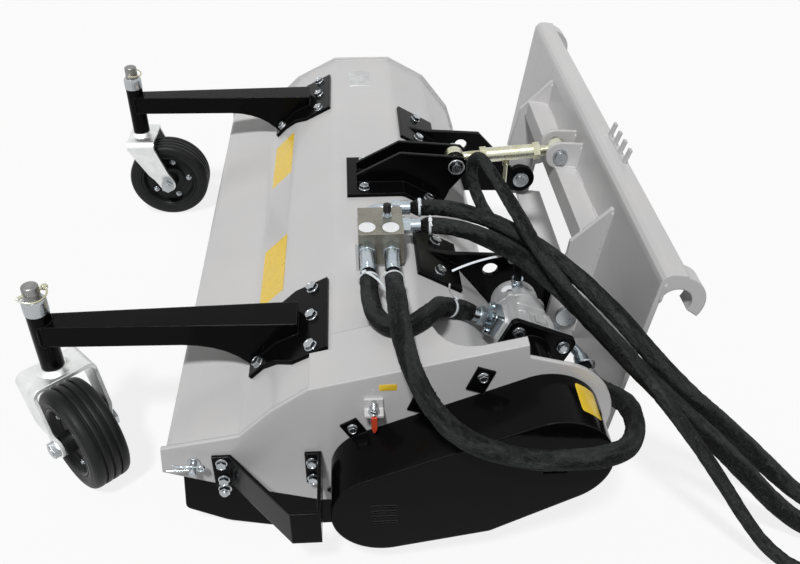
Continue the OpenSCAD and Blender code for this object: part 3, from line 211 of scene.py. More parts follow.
class SurfaceGraph(Graph):
    """Builder for the node tree of a material with a principled shader."""

    def __init__(self, tree: bpy.types.NodeTree) -> None:
        """Take on a material's new node tree.

        Args:
            tree: The tree to fill.
        """
        super().__init__(tree)
        self.shader = tree.nodes["Principled BSDF"]
        self.place = self.node("ShaderNodeTexCoord").outputs["Object"]

    def set(self, **inputs: Feed) -> None:
        """Feed the shader's inputs, named with underscores for spaces."""
        for key, value in inputs.items():
            self.feed(self.shader.inputs[key.replace("_", " ")], value)

    def stretched(self, scale: Sequence[float], source: Socket | None = None) -> Socket:
        """Scale coordinates, the object's own by default, along their axes."""
        return self.node("ShaderNodeMapping", {"Vector": source or self.place, "Scale": scale}).outputs["Vector"]

    def noise(self, scale: float, detail: float = 3.0, place: Socket | None = None, warp: float = 0.0) -> Socket:
        """Add a noise texture with its scale in features per metre."""
        inputs = {"Vector": place or self.place, "Scale": scale, "Detail": detail, "Distortion": warp}
        return self.node("ShaderNodeTexNoise", inputs).outputs["Fac"]

    def cells(self, scale: float) -> Socket:
        """Add a cell texture with its scale in cells per metre."""
        return self.node("ShaderNodeTexVoronoi", {"Vector": self.place, "Scale": scale}).outputs["Distance"]

    def waves(self, pitch: float, axis: Axis, place: Socket, warp: float) -> Socket:
        """Add parallel bands across an axis, with their pitch in metres."""
        inputs = {"Vector": place, "Scale": 0.314159 / pitch, "Distortion": warp}
        return self.node("ShaderNodeTexWave", inputs, bands_direction=axis.value).outputs["Fac"]

    def mix(self, share: Socket | float, first: Socket | Colour, second: Socket | Colour) -> Socket:
        """Mix two colours by the share of the second."""
        return self.node("ShaderNodeMix", {0: share, 6: first, 7: second}, data_type="RGBA").outputs[2]

    def rounded(self, radius: float) -> Socket:
        """Soften the edges in the shading by a radius in metres."""
        return self.node("ShaderNodeBevel", {"Radius": radius}, samples=6).outputs["Normal"]

    def normal(self) -> Socket:
        """Get the surface's own normal."""
        return self.node("ShaderNodeNewGeometry").outputs["Normal"]

    def edges(self, radius: float) -> Socket:
        """Find the edges.

        Args:
            radius: Width of the edges in metres.

        Returns:
            A value that rises to one at an edge.
        """
        inputs = {0: self.rounded(radius), 1: self.normal()}
        dot = self.node("ShaderNodeVectorMath", inputs, operation="DOT_PRODUCT")
        return self.span(dot.outputs["Value"], 0.995, 0.86)

    def facing_up(self) -> Socket:
        """Find faces that lie upwards, with a value of one on level faces."""
        split = self.node("ShaderNodeSeparateXYZ", {0: self.normal()})
        return self.span(split.outputs["Z"], 0.2, 1.0)

    def bump(self, height: Socket, strength: float, depth: float, below: Socket | None = None) -> Socket:
        """Turn a height into a normal.

        Args:
            height: Height value.
            strength: Strength of the effect.
            depth: Depth in metres.
            below: Normal to build on.

        Returns:
            The bumped normal.
        """
        inputs = {"Strength": strength, "Distance": depth, "Height": height}
        if below is not None:
            inputs["Normal"] = below
        return self.node("ShaderNodeBump", inputs).outputs["Normal"]


@dataclass(frozen=True)
class Finish(ABC):
    """A surface finish, drawn once as a material."""

    name: str
    colour: Colour

    @abstractmethod
    def draw(self, graph: SurfaceGraph) -> None:
        """Fill the material's node tree.

        Args:
            graph: Builder of the tree.
        """

    def material(self) -> bpy.types.Material:
        """Get the material, made at first use.

        Returns:
            The material of this finish.
        """
        found = bpy.data.materials.get(self.name)
        if found is None:
            found = bpy.data.materials.new(self.name)
            found.use_nodes = True
            self.draw(SurfaceGraph(found.node_tree))
        return found


@dataclass(frozen=True)
class Paint(Finish):
    """Sprayed enamel with orange peel, dust on level faces and a painted highlight on upward-facing edges."""

    shade: Colour
    # The edge colour and its share paint a highlight on upward-facing edges.
    edge: Colour
    dust: Colour
    roughness: float
    peel: float
    gloss: float
    dust_share: float
    edge_highlight_share: float
    specular: float = 0.5
    round_off: float = 0.0018

    def draw(self, graph: SurfaceGraph) -> None:
        """Draw the enamel.

        Args:
            graph: Builder of the tree.
        """
        cloud = graph.noise(3.1, 6.0)
        grain = graph.noise(60.0, 4.0)
        speck = graph.cells(420.0)
        colour = graph.mix(graph.span(cloud, 0.35, 0.7, 0.0, 0.55), self.colour, self.shade)
        settled = graph.sum(Maths.TIMES, graph.facing_up(), graph.span(graph.noise(9.0, 8.0), 0.42, 0.72))
        colour = graph.mix(graph.sum(Maths.TIMES, settled, self.dust_share), colour, self.dust)
        fleck = graph.span(speck, 0.10, 0.02, 0.0, self.dust_share * 1.4)
        colour = graph.mix(graph.sum(Maths.TIMES, fleck, settled), colour, self.dust)
        # Painted highlight: edges of upward-facing faces are lightened towards the edge colour, in patches set by the
        # grain.
        edges = graph.edges(0.0035)
        upward_highlight_grain = graph.sum(Maths.TIMES, graph.span(grain, 0.3, 0.6, 0.4, 1.0), graph.facing_up())
        lightened = graph.sum(Maths.TIMES, edges, upward_highlight_grain)
        colour = graph.mix(graph.sum(Maths.TIMES, lightened, self.edge_highlight_share), colour, self.edge)
        rough = graph.sum(Maths.PLUS, graph.span(grain, 0.3, 0.7, -0.05, 0.06), self.roughness)
        rough = graph.sum(Maths.PLUS, rough, graph.sum(Maths.TIMES, settled, 0.12))
        normal = graph.bump(graph.noise(210.0, 2.0), self.peel, 0.0006, graph.rounded(self.round_off))
        normal = graph.bump(graph.noise(14.0, 2.0), 0.06, 0.004, normal)
        graph.set(Base_Color=colour, Roughness=rough, Normal=normal, Specular_IOR_Level=self.specular)
        graph.set(Coat_Weight=self.gloss, Coat_Roughness=0.12)


@dataclass(frozen=True)
class Metal(Finish):
    """Bare or plated metal with clouded tint, fine scratches, pitting and a painted highlight on its edges."""

    tint: Colour
    roughness: float
    spread: float
    pits: float
    grain: Point = (1.0, 1.0, 1.0)
    metallic: float = 1.0
    soot: float = 0.25

    def draw(self, graph: SurfaceGraph) -> None:
        """Draw the metal.

        Args:
            graph: Builder of the tree.
        """
        cloud = graph.noise(26.0, 5.0, warp=0.6)
        drawn = graph.noise(240.0, 3.0, graph.stretched(self.grain))
        crystal = graph.cells(260.0)
        colour = graph.mix(graph.span(cloud, 0.35, 0.66), self.colour, self.tint)
        colour = graph.mix(graph.span(crystal, 0.2, 0.7, 0.0, 0.12 * self.pits), colour, self.tint)
        dirt = graph.sum(Maths.TIMES, graph.span(graph.noise(70.0, 6.0), 0.5, 0.75), self.soot)
        colour = graph.mix(dirt, colour, tuple(0.35 * part for part in self.colour))
        # Painted highlight: edges are lightened to one and a half times the colour.
        painted_edge_highlight = graph.sum(Maths.TIMES, graph.edges(0.0015), 0.6)
        colour = graph.mix(painted_edge_highlight, colour, tuple(min(0.95, 1.5 * part) for part in self.colour))
        rough = graph.span(drawn, 0.3, 0.7, self.roughness - self.spread, self.roughness + self.spread)
        normal = graph.bump(drawn, 0.12 * self.pits, 0.0003, graph.rounded(0.0009))
        normal = graph.bump(graph.noise(700.0, 2.0), 0.25 * self.pits, 0.0002, normal)
        graph.set(Base_Color=colour, Roughness=rough, Normal=normal, Metallic=self.metallic)


@dataclass(frozen=True)
class Rubber(Finish):
    """Moulded rubber or plastic with a dusty bloom and a fine grain."""

    bloom: Colour
    roughness: float
    grain: float
    bloom_share: float

    def draw(self, graph: SurfaceGraph) -> None:
        """Draw the rubber.

        Args:
            graph: Builder of the tree.
        """
        cloud = graph.noise(18.0, 6.0)
        fine = graph.noise(520.0, 3.0)
        worn = graph.sum(Maths.TIMES, graph.span(cloud, 0.4, 0.72), self.bloom_share)
        colour = graph.mix(worn, self.colour, self.bloom)
        edge = graph.sum(Maths.TIMES, graph.edges(0.002), self.bloom_share)
        colour = graph.mix(edge, colour, self.bloom)
        rough = graph.span(fine, 0.3, 0.7, self.roughness - 0.08, self.roughness + 0.08)
        normal = graph.bump(fine, self.grain, 0.0004, graph.rounded(0.0014))
        graph.set(Base_Color=colour, Roughness=rough, Normal=normal, Specular_IOR_Level=0.22)


@dataclass(frozen=True)
class Fabric(Finish):
    """Woven hose sleeve: a tight weave along and across, with rubbed ridges and lint."""

    lightened: Colour
    pitch: float = 0.0014

    def draw(self, graph: SurfaceGraph) -> None:
        """Draw the woven sleeve from the tube's own lengthwise coordinates.

        Args:
            graph: Builder of the tree.
        """
        laid = graph.node("ShaderNodeUVMap", uv_map="sleeve").outputs["UV"]
        warp = graph.waves(self.pitch, Axis.X, laid, 0.25)
        weft = graph.waves(self.pitch * 1.25, Axis.Y, laid, 0.25)
        weave = graph.sum(Maths.TIMES, warp, weft)
        lint = graph.noise(900.0, 4.0, graph.stretched((1.0, 0.22, 1.0), laid))
        patch = graph.noise(30.0, 5.0, graph.stretched((1.6, 0.5, 1.0), laid))
        ridge = graph.node("ShaderNodeAttribute", attribute_name="ridge").outputs["Fac"]
        broad = self.crinkle(graph, graph.noise(70.0, 4.0, graph.stretched((1.0, 0.55, 1.0), laid), 1.1))
        fine = self.crinkle(graph, graph.noise(190.0, 3.0, graph.stretched((1.0, 0.7, 1.0), laid), 0.8))
        lines = graph.sum(Maths.PLUS, graph.span(broad, 0.82, 1.0, 0.0, 0.5), graph.span(fine, 0.8, 1.0, 0.0, 0.3))
        lines = graph.sum(Maths.TIMES, lines, graph.span(patch, 0.34, 0.62, 0.15, 1.0))
        lines = graph.sum(Maths.TIMES, lines, graph.span(lint, 0.3, 0.65))
        share = graph.sum(Maths.PLUS, lines, graph.span(ridge, 0.55, 1.0, 0.0, 0.34))
        colour = graph.mix(share, self.colour, self.lightened)
        colour = graph.mix(graph.span(weave, 0.0, 0.35, 0.3, 0.0), colour, (0.003, 0.003, 0.0035))
        normal = graph.bump(weave, 0.4, 0.0005)
        normal = graph.bump(fine, 0.5, 0.0016, normal)
        normal = graph.bump(broad, 0.8, 0.004, normal)
        graph.set(Base_Color=colour, Roughness=graph.span(lint, 0.3, 0.7, 0.62, 0.86), Normal=normal)
        graph.set(Sheen_Weight=0.02, Sheen_Roughness=0.45, Specular_IOR_Level=0.10)

    def crinkle(self, graph: SurfaceGraph, value: Socket) -> Socket:
        """Turn a noise into narrow ridges that rise to one."""
        return graph.span(graph.sum(Maths.SIZE, graph.sum(Maths.MINUS, value, 0.5), 0.0), 0.22, 0.0)


@dataclass(frozen=True)
class Film(Finish):
    """Plain film, nylon or thin paint: slight fade, fine specks and uneven gloss."""

    faded: Colour
    roughness: float
    glow: float = 0.0

    def draw(self, graph: SurfaceGraph) -> None:
        """Draw the film.

        Args:
            graph: Builder of the tree.
        """
        fade = graph.span(graph.noise(22.0, 6.0), 0.4, 0.7, 0.0, 0.6)
        colour = graph.mix(fade, self.colour, self.faded)
        speck = graph.span(graph.noise(480.0, 3.0), 0.66, 0.8, 0.0, 0.12)
        colour = graph.mix(speck, colour, tuple(0.6 * part for part in self.colour))
        rough = graph.span(graph.noise(90.0, 4.0), 0.3, 0.7, self.roughness - 0.06, self.roughness + 0.08)
        normal = graph.bump(graph.noise(160.0, 2.0), 0.08, 0.0004, graph.rounded(0.0004))
        graph.set(Base_Color=colour, Roughness=rough, Normal=normal, Subsurface_Weight=self.glow)


# The fourth colour of each enamel is its painted edge highlight.
GREY_PAINT = Paint(
    "grey_enamel", srgb(206, 205, 205), srgb(196, 195, 196), srgb(222, 221, 220), srgb(214, 212, 207),
    roughness=0.40, peel=0.08, gloss=0.3, dust_share=0.22, edge_highlight_share=0.45, round_off=0.0035,
)
BLACK_PAINT = Paint(
    "black_enamel", srgb(9, 9, 10), srgb(13, 13, 14), srgb(128, 130, 133), srgb(60, 59, 57),
    roughness=0.15, peel=0.05, gloss=0.0, dust_share=0.02, edge_highlight_share=0.2, specular=0.055, round_off=0.0045,
)
ZINC = Metal("bright_zinc", srgb(180, 184, 187), srgb(164, 169, 173), 0.27, 0.03, 0.15, soot=0.12)
BLUE_ZINC = Metal("blue_zinc", srgb(184, 193, 198), srgb(168, 180, 187), 0.23, 0.02, 0.12, soot=0.10)
GALVANISED = Metal("hot_dip_zinc", srgb(236, 237, 236), srgb(220, 222, 222), 0.38, 0.10, 0.8, soot=0.07)
FORGED = Metal("forged_scale", srgb(86, 84, 82), srgb(58, 56, 55), 0.58, 0.12, 2.0, metallic=0.7)
BRIGHT_STEEL = Metal("turned_steel", srgb(200, 199, 196), srgb(176, 174, 170), 0.24, 0.08, 0.6, (60.0, 1.0, 1.0))
YELLOW_ZINC = Metal("yellow_chromate", srgb(206, 208, 194), srgb(192, 188, 156), 0.27, 0.09, 0.5, soot=0.18)
CAST = Metal("cast_alloy", srgb(198, 199, 199), srgb(182, 183, 184), 0.42, 0.10, 1.2, metallic=0.4, soot=0.12)
NICKEL = Metal(
    "nickel_plate", srgb(140, 138, 127), srgb(124, 121, 111), 0.30, 0.07, 0.5, (1.0, 1.0, 22.0),
    metallic=0.6, soot=0.12,
)
TYRE = Rubber("tyre_rubber", srgb(18, 19, 20), srgb(42, 42, 42), 0.5, 0.25, 0.3)
RIM = Rubber("moulded_rim", srgb(15, 16, 17), srgb(42, 43, 43), 0.38, 0.2, 0.25)
BELT = Rubber("ribbed_belt", srgb(30, 30, 31), srgb(66, 65, 63), 0.7, 0.4, 0.3)
CAP_PLASTIC = Rubber("cap_plastic", srgb(22, 22, 23), srgb(50, 50, 50), 0.4, 0.15, 0.2)
SLEEVE = Fabric("woven_sleeve", srgb(10, 11, 12), srgb(88, 91, 90))
YELLOW_FILM = Film("plain_yellow_film", srgb(246, 208, 50), srgb(238, 202, 66), 0.3)
WHITE_FILM = Film("plain_white_film", srgb(246, 248, 250), srgb(238, 241, 244), 0.34)
TIE_PLASTIC = Film("tie_nylon", srgb(236, 238, 240), srgb(222, 226, 228), 0.4, 0.1)
RED_PAINT = Film("signal_red", srgb(206, 70, 40), srgb(176, 58, 38), 0.4)
DULL_STEEL = Metal("dull_steel", srgb(150, 151, 150), srgb(128, 128, 126), 0.36, 0.06, 0.5, (1.0, 1.0, 30.0), soot=0.15)
BARE_PLATE = Metal("type_plate", srgb(206, 208, 208), srgb(190, 192, 193), 0.34, 0.08, 0.4, (1.0, 40.0, 1.0))

SLOT_FINISH: dict[str, Finish] = {
    "grey_paint": GREY_PAINT,
    "black_paint": BLACK_PAINT,
    "zinc": ZINC,
    "galvanised": GALVANISED,
    "forged_steel": FORGED,
    "bright_steel": BRIGHT_STEEL,
    "yellow_zinc": YELLOW_ZINC,
    "cast_aluminium": CAST,
    "nickel": NICKEL,
    "tyre": TYRE,
    "rim_plastic": RIM,
    "belt_rubber": BELT,
    "hose_sleeve": SLEEVE,
}
NODE_FINISH: dict[str, Finish] = {
    "motor_fittings": BLUE_ZINC,
    "block_fittings": BLUE_ZINC,
    "hose_couplers": BLUE_ZINC,
}


class Shape:
    """Mesh under construction for one piece."""

    def __init__(self) -> None:
        """Start an empty mesh."""
        self.mesh = bmesh.new()

    def ring(self, points: Iterable[Vector]) -> Ring:
        """Add a ring of vertices at the points."""
        return [self.mesh.verts.new(point) for point in points]

    def skin(self, first: Ring, second: Ring, closed: bool = True) -> None:
        """Join two rings of the same size with faces.

        Args:
            first: First ring.
            second: Second ring.
            closed: Whether the rings close on themselves.
        """
        count = len(first)
        for index in range(count if closed else count - 1):
            after = (index + 1) % count
            self.mesh.faces.new((first[index], first[after], second[after], second[index]))

    def cap(self, ring: Ring) -> None:
        """Close a ring with one face."""
        self.mesh.faces.new(ring)

    def tube(self, rings: Sequence[Ring]) -> None:
        """Skin a row of rings and close both ends.

        Args:
            rings: The rings in order.
        """
        for first, second in zip(rings, rings[1:]):
            self.skin(first, second)
        self.cap(rings[0][::-1])
        self.cap(rings[-1])

    def turned(self, place: Matrix, profile: Sequence[Pair], sides: int, scale: float = 1.0) -> list[Ring]:
        """Add one ring round the local Z axis for each point of a profile.

        Args:
            place: Place and direction of the axis.
            profile: Radius and height pairs.
            sides: Faces round the axis.
            scale: Metres in one unit of the profile.

        Returns:
            The rings.
        """
        rings = []
        for radius, height in profile:
            turns = (math.tau * k / sides for k in range(sides))
            flat = [Vector((radius * math.cos(a), radius * math.sin(a), height)) * scale for a in turns]
            rings.append(self.ring(place @ point for point in flat))
        return rings

    def lathe(self, place: Matrix, profile: Sequence[Pair], sides: int = 24) -> None:
        """Turn a profile of radius and height pairs round the local Z axis."""
        self.tube(self.turned(place, profile, sides))

    def hoop(self, place: Matrix, profile: Sequence[Pair], sides: int = 72) -> None:
        """Turn a closed profile round the local Z axis.

        Args:
            place: Place and direction of the axis.
            profile: Radius and height pairs of a loop, in millimetres.
            sides: Faces round the axis.
        """
        rings = self.turned(place, profile, sides, MM)
        for first, second in zip(rings, [*rings[1:], rings[0]]):
            self.skin(first, second)

    def sweep(self, line: Sequence[Vector], sides: Sequence[Vector], section: Sequence[Pair]) -> None:
        """Sweep a closed section along a line.

        Args:
            line: Points of the line.
            sides: Direction of the section's first axis at each point.
            section: Points of the section.
        """
        rings = []
        for index, point in enumerate(line):
            ahead = line[min(index + 1, len(line) - 1)] - line[max(index - 1, 0)]
            side = (sides[index] - sides[index].project(ahead)).normalized()
            other = ahead.normalized().cross(side)
            rings.append(self.ring(point + side * u + other * v for u, v in section))
        self.tube(rings)

    def finish(
        self, name: str, body: Body, look: Finish, slot: str | None = None, smooth: float = 40.0,
    ) -> bpy.types.Object:
        """Make the piece and report it.

        Args:
            name: Name of the piece.
            body: CAD body that carries it.
            look: Its finish.
            slot: Material slot of the record; not used.
            smooth: Angle in degrees up to which edges are shaded smooth.

        Returns:
            The new object.
        """
        bmesh.ops.recalc_face_normals(self.mesh, faces=self.mesh.faces[:])
        for face in self.mesh.faces:
            face.smooth = True
        for edge in self.mesh.edges:
            edge.smooth = edge.calc_face_angle(0.0) < math.radians(smooth)
        data = bpy.data.meshes.new(name)
        self.mesh.to_mesh(data)
        self.mesh.free()
        data.materials.append(look.material())
        made = bpy.data.objects.new(name, data)
        bpy.context.scene.collection.objects.link(made)
        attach(made, body.value)
        LOG.info("%s rides on %s in %s", name, body.value, look.name)
        return made


def frame_at(place: Vector, axis: Vector, side: Vector | None = None) -> Matrix:
    """Build a placement whose Z axis follows a direction.

    Args:
        place: Origin.
        axis: Direction of the local Z axis.
        side: Rough direction of the local X axis.

    Returns:
        The placement matrix.
    """
    up = axis.normalized()
    guess = side or (SIDEWAYS if abs(up.x) < 0.9 else AHEAD)
    across = (guess - guess.project(up)).normalized()
    third = up.cross(across)
    made = Matrix((across, third, up)).transposed().to_4x4()
    made.translation = place
    return made


def lifted(place: Matrix, height: float) -> Matrix:
    """Move a placement along its own Z axis.

    Args:
        place: The placement.
        height: Distance to move it.

    Returns:
        The moved placement.
    """
    return place @ Matrix.Translation((0, 0, height))


def spun(place: Matrix, angle: float) -> Matrix:
    """Turn a placement about its own Z axis.

    Args:
        place: The placement.
        angle: Angle in radians.

    Returns:
        The turned placement.
    """
    return place @ Matrix.Rotation(angle, 4, "Z")


def turned_over(place: Matrix) -> Matrix:
    """Turn a placement so that its Z axis points the other way.

    Args:
        place: The placement.

    Returns:
        The turned placement.
    """
    return place @ Matrix.Rotation(math.pi, 4, "X")


def round_section(radius: float, count: int = 12) -> list[Pair]:
    """Draw the section of a round wire.

    Args:
        radius: Radius of the wire.
        count: Number of points.

    Returns:
        Points of the section.
    """
    turns = [math.tau * k / count for k in range(count)]
    return [(radius * math.cos(a), radius * math.sin(a)) for a in turns]


def flat_section(width: float, thick: float) -> list[Pair]:
    """Draw the section of a flat strap.

    Args:
        width: Width of the strap.
        thick: Its thickness.

    Returns:
        Points of the section.
    """
    half, thin = width / 2, thick / 2
    return [(-thin, -half), (thin, -half), (thin, half), (-thin, half)]


def smooth_line(points: Sequence[Vector], step: float) -> list[Vector]:
    """Run one smooth curve through points, in even steps.

    Args:
        points: Points to pass.
        step: Distance between the new points.

    Returns:
        The points of the curve.
    """
    ends = [2 * points[0] - points[1], *points, 2 * points[-1] - points[-2]]
    parts = 24
    dense: list[Vector] = []
    for a, b, c, d in zip(ends, ends[1:], ends[2:], ends[3:]):
        for k in range(parts):
            t = k / parts
            square = (2 * a - 5 * b + 4 * c - d) * t**2
            cube = (3 * b - a - 3 * c + d) * t**3
            dense.append(0.5 * (2 * b + (c - a) * t + square + cube))
    dense.append(points[-1].copy())
    total = length_of(dense)
    count = max(2, round(total / step))
    line, gone, target = [dense[0]], 0.0, total / count
    for p, q in zip(dense, dense[1:]):
        part = (q - p).length
        while gone + part >= target and len(line) < count:
            line.append(p.lerp(q, (target - gone) / part))
            target += total / count
        gone += part
    line.append(dense[-1])
    return line


def length_of(line: Sequence[Vector]) -> float:
    """Measure a line.

    Args:
        line: Points of the line.

    Returns:
        Its length.
    """
    return sum((q - p).length for p, q in zip(line, line[1:]))


@dataclass(frozen=True)
class PhotoCamera:
    """The photograph's camera, matched to the CAD model."""

    place: Point = (-1.6675, -0.01397, 1.34056)
    yaw: float = -0.062905
    pitch: float = 0.640757
    roll: float = 0.006985
    lens: float = 39.726
    sensor: float = 36.0

    def build(self) -> bpy.types.Object:
        """Make the camera and look through it.

        Returns:
            The camera.
        """
        level = math.cos(self.pitch)
        look = Vector((level * math.cos(self.yaw), level * math.sin(self.yaw), -math.sin(self.pitch)))
        right = Vector((math.sin(self.yaw), -math.cos(self.yaw), 0.0))
        up = right.cross(look)
        across = math.cos(self.roll) * right + math.sin(self.roll) * up
        above = math.cos(self.roll) * up - math.sin(self.roll) * right
        data = bpy.data.cameras.new("photo_camera")
        data.sensor_fit = "HORIZONTAL"
        data.sensor_width = self.sensor
        data.lens = self.lens
        made = bpy.data.objects.new("photo_camera", data)
        turn = Matrix((across, above, -look)).transposed().to_4x4()
        turn.translation = Vector(self.place)
        made.matrix_world = turn
        bpy.context.scene.collection.objects.link(made)
        bpy.context.scene.camera = made
        return made


@dataclass(frozen=True)
class Studio:
    """Plain pale floor and soft light."""

    floor_half: float = 14.0
    floor_drop: float = 0.0006
    floor_shade: float = 0.86
    floor_bounce: float = 0.34
    key_power: float = 2.5
    key_from: Point = (-0.48, 0.14, 0.865)
    key_angle: float = 7.0
    fill: float = 0.18
    white_share: float = 0.84

    def seen(self, graph: Graph) -> Socket:
        """Tell rays that look at the backdrop from rays that carry light.

        Args:
            graph: Builder of the tree to add to.

        Returns:
            One for camera, glossy and transmission rays.
        """
        path = graph.node("ShaderNodeLightPath")
        total = path.outputs["Is Camera Ray"]
        for key in ("Is Glossy Ray", "Is Transmission Ray"):
            total = graph.sum(Maths.LARGER, total, path.outputs[key])
        return total

    def world(self) -> None:
        """Make the even surround."""
        world = bpy.data.worlds.new("studio")
        world.use_nodes = True
        bpy.context.scene.world = world
        graph = Graph(world.node_tree)
        back = graph.tree.nodes["Background"]
        graph.feed(back.inputs["Color"], (1.0, 1.0, 1.0))
        graph.feed(back.inputs["Strength"], graph.span(self.seen(graph), 0.0, 1.0, self.fill, 1.0))

    def floor(self) -> None:
        """Make the floor, which keeps a soft shadow of the object."""
        material = bpy.data.materials.new("pale_floor")
        material.use_nodes = True
        graph = Graph(material.node_tree)
        graph.tree.nodes.remove(graph.tree.nodes["Principled BSDF"])
        seen = self.seen(graph)
        shade = graph.span(seen, 0.0, 1.0, self.floor_bounce, self.floor_shade)
        matt = graph.node("ShaderNodeBsdfDiffuse", {"Color": shade}).outputs["BSDF"]
        white = graph.node("ShaderNodeEmission", {"Strength": 1.0}).outputs["Emission"]
        share = graph.sum(Maths.TIMES, seen, self.white_share)
        both = graph.node("ShaderNodeMixShader", {0: share, 1: matt, 2: white}).outputs["Shader"]
        graph.feed(graph.tree.nodes["Material Output"].inputs["Surface"], both)
        half = self.floor_half
        data = bpy.data.meshes.new("floor")
        corners = ((-half, -half), (half, -half), (half, half), (-half, half))
        data.from_pydata([(x, y, -self.floor_drop) for x, y in corners], [], [(0, 1, 2, 3)])
        data.materials.append(material)
        made = bpy.data.objects.new("floor", data)
        bpy.context.scene.collection.objects.link(made)

    def key(self) -> None:
        """Make the soft key light."""
        data = bpy.data.lights.new("key", "SUN")
        data.energy = self.key_power
        data.angle = math.radians(self.key_angle)
        made = bpy.data.objects.new("key", data)
        made.rotation_euler = Vector(self.key_from).to_track_quat("Z", "Y").to_euler()
        bpy.context.scene.collection.objects.link(made)

    def build(self) -> None:
        """Make floor, surround and light."""
        bpy.context.scene.view_settings.view_transform = "Standard"
        self.world()
        self.floor()
        self.key()


@dataclass(frozen=True)
class Hose:
    """A sleeved hydraulic hose: a route, a radius and what is on its far end."""

    name: str
    node: str
    radius: float
    far_end: FarEnd
    route: tuple[Point, ...]
    seed: float
    bare: float = 0.0
    sides: int = 40
    end_fade: float = 0.02
    end_share: float = 0.93
    bare_fade: float = 0.012
    bare_share: float = 0.6

    def line(self) -> list[Vector]:
        """Find the points of the hose's centreline in even steps."""
        return smooth_line([spot(*point) for point in self.route], HOSE_STEP)

    def build(self, with_pieces: Sequence[bpy.types.Object] = ()) -> bpy.types.Object:
        """Args:
            with_pieces: Pieces on the cord; not used.

        Returns:
            The sleeve.
        """
        line = self.line()
        radius = self.radius * MM
        shape = Shape()
        uv = shape.mesh.loops.layers.uv.new("sleeve")
        ridge = shape.mesh.verts.layers.float.new("ridge")
        side = UPWARD
        rings: list[Ring] = []
        gone, steps = 0.0, []
        total = length_of(line)
        for index, point in enumerate(line):
            before, after = line[max(index - 1, 0)], line[min(index + 1, len(line) - 1)]
            ahead = (after - before).normalized()
            bend = Vector()
            if 0 < index < len(line) - 1:
                bend = ((after - point).normalized() - (point - before).normalized()) / HOSE_STEP
            if index:
                gone += (point - before).length
            steps.append(gone)
            side = (side - side.project(ahead)).normalized()
            other = ahead.cross(side)
            ring = []
            for k in range(self.sides):
                angle = math.tau * k / self.sides
                out = side * math.cos(angle) + other * math.sin(angle)
                value = self.swell(gone, total, angle, out.dot(bend))
                vert = shape.mesh.verts.new(point + out * radius * value)
                vert[ridge] = min(1.0, max(0.0, 0.5 + 4.5 * (value - 0.97)))
                ring.append(vert)
            rings.append(ring)
        around = math.tau * radius / self.sides
        for index, (first, second) in enumerate(zip(rings, rings[1:])):
            for k in range(self.sides):
                nxt = (k + 1) % self.sides
                face = shape.mesh.faces.new((first[k], first[nxt], second[nxt], second[k]))
                for loop, (u, v) in zip(face.loops, ((k, 0), (k + 1, 0), (k + 1, 1), (k, 1))):
                    loop[uv].uv = (u * around, steps[index + v])
        shape.cap(rings[0][::-1])
        shape.cap(rings[-1])
        made = shape.finish(self.name, Body.DECK, SLEEVE, "hose_sleeve", 80.0)
        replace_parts(made, self.node)
        return made

    def swell(self, along: float, total: float, angle: float, inside: float) -> float:
        """Find the sleeve's radius at a place, as a share of the hose's radius.

        Args:
            along: Distance from the start.
            total: Whole length.
            angle: Place round the hose.
            inside: Curvature towards this side, positive on the inside of a bend.

        Returns:
            The share of the radius.
        """
        c, s = math.cos(angle), math.sin(angle)
        lie = 2.4 * noise.noise(Vector((self.seed, 0.0, 3.0 * along)))
        fold = noise.noise(Vector((1.25 * c + self.seed, 1.25 * s, 14.0 * along)))
        pleat = 1.0 - 2.0 * abs(noise.noise(Vector((2.2 * c, 2.2 * s + self.seed, 26.0 * along))))
        crease = 1.0 - 2.2 * abs(noise.noise(Vector((1.7 * c, 1.7 * s - self.seed, 62.0 * along))))
        tight = min(1.0, max(0.0, 0.4 + 0.12 * inside))
        value = 0.965 + 0.06 * math.cos(2.0 * (angle - lie)) + 0.075 * fold + 0.05 * pleat + 0.09 * tight * crease
        for turn in (0.7, 3.6):
            off = (angle - lie - turn + math.pi) % math.tau - math.pi
            pucker = noise.noise(Vector((turn, self.seed, 60.0 * along)))
            value += (0.05 + 0.06 * pucker) * math.exp(-((off / 0.24) ** 2))
        end = min(along, total - along)
        if end < self.end_fade:
            value = value * (end / self.end_fade) + self.end_share * (1 - end / self.end_fade)
        value = min(1.13, max(0.80, value))
        if along < self.bare + self.bare_fade:
            share = min(1.0, max(0.0, (along - self.bare) / self.bare_fade))
            value = self.bare_share + (value - self.bare_share) * share
        return value


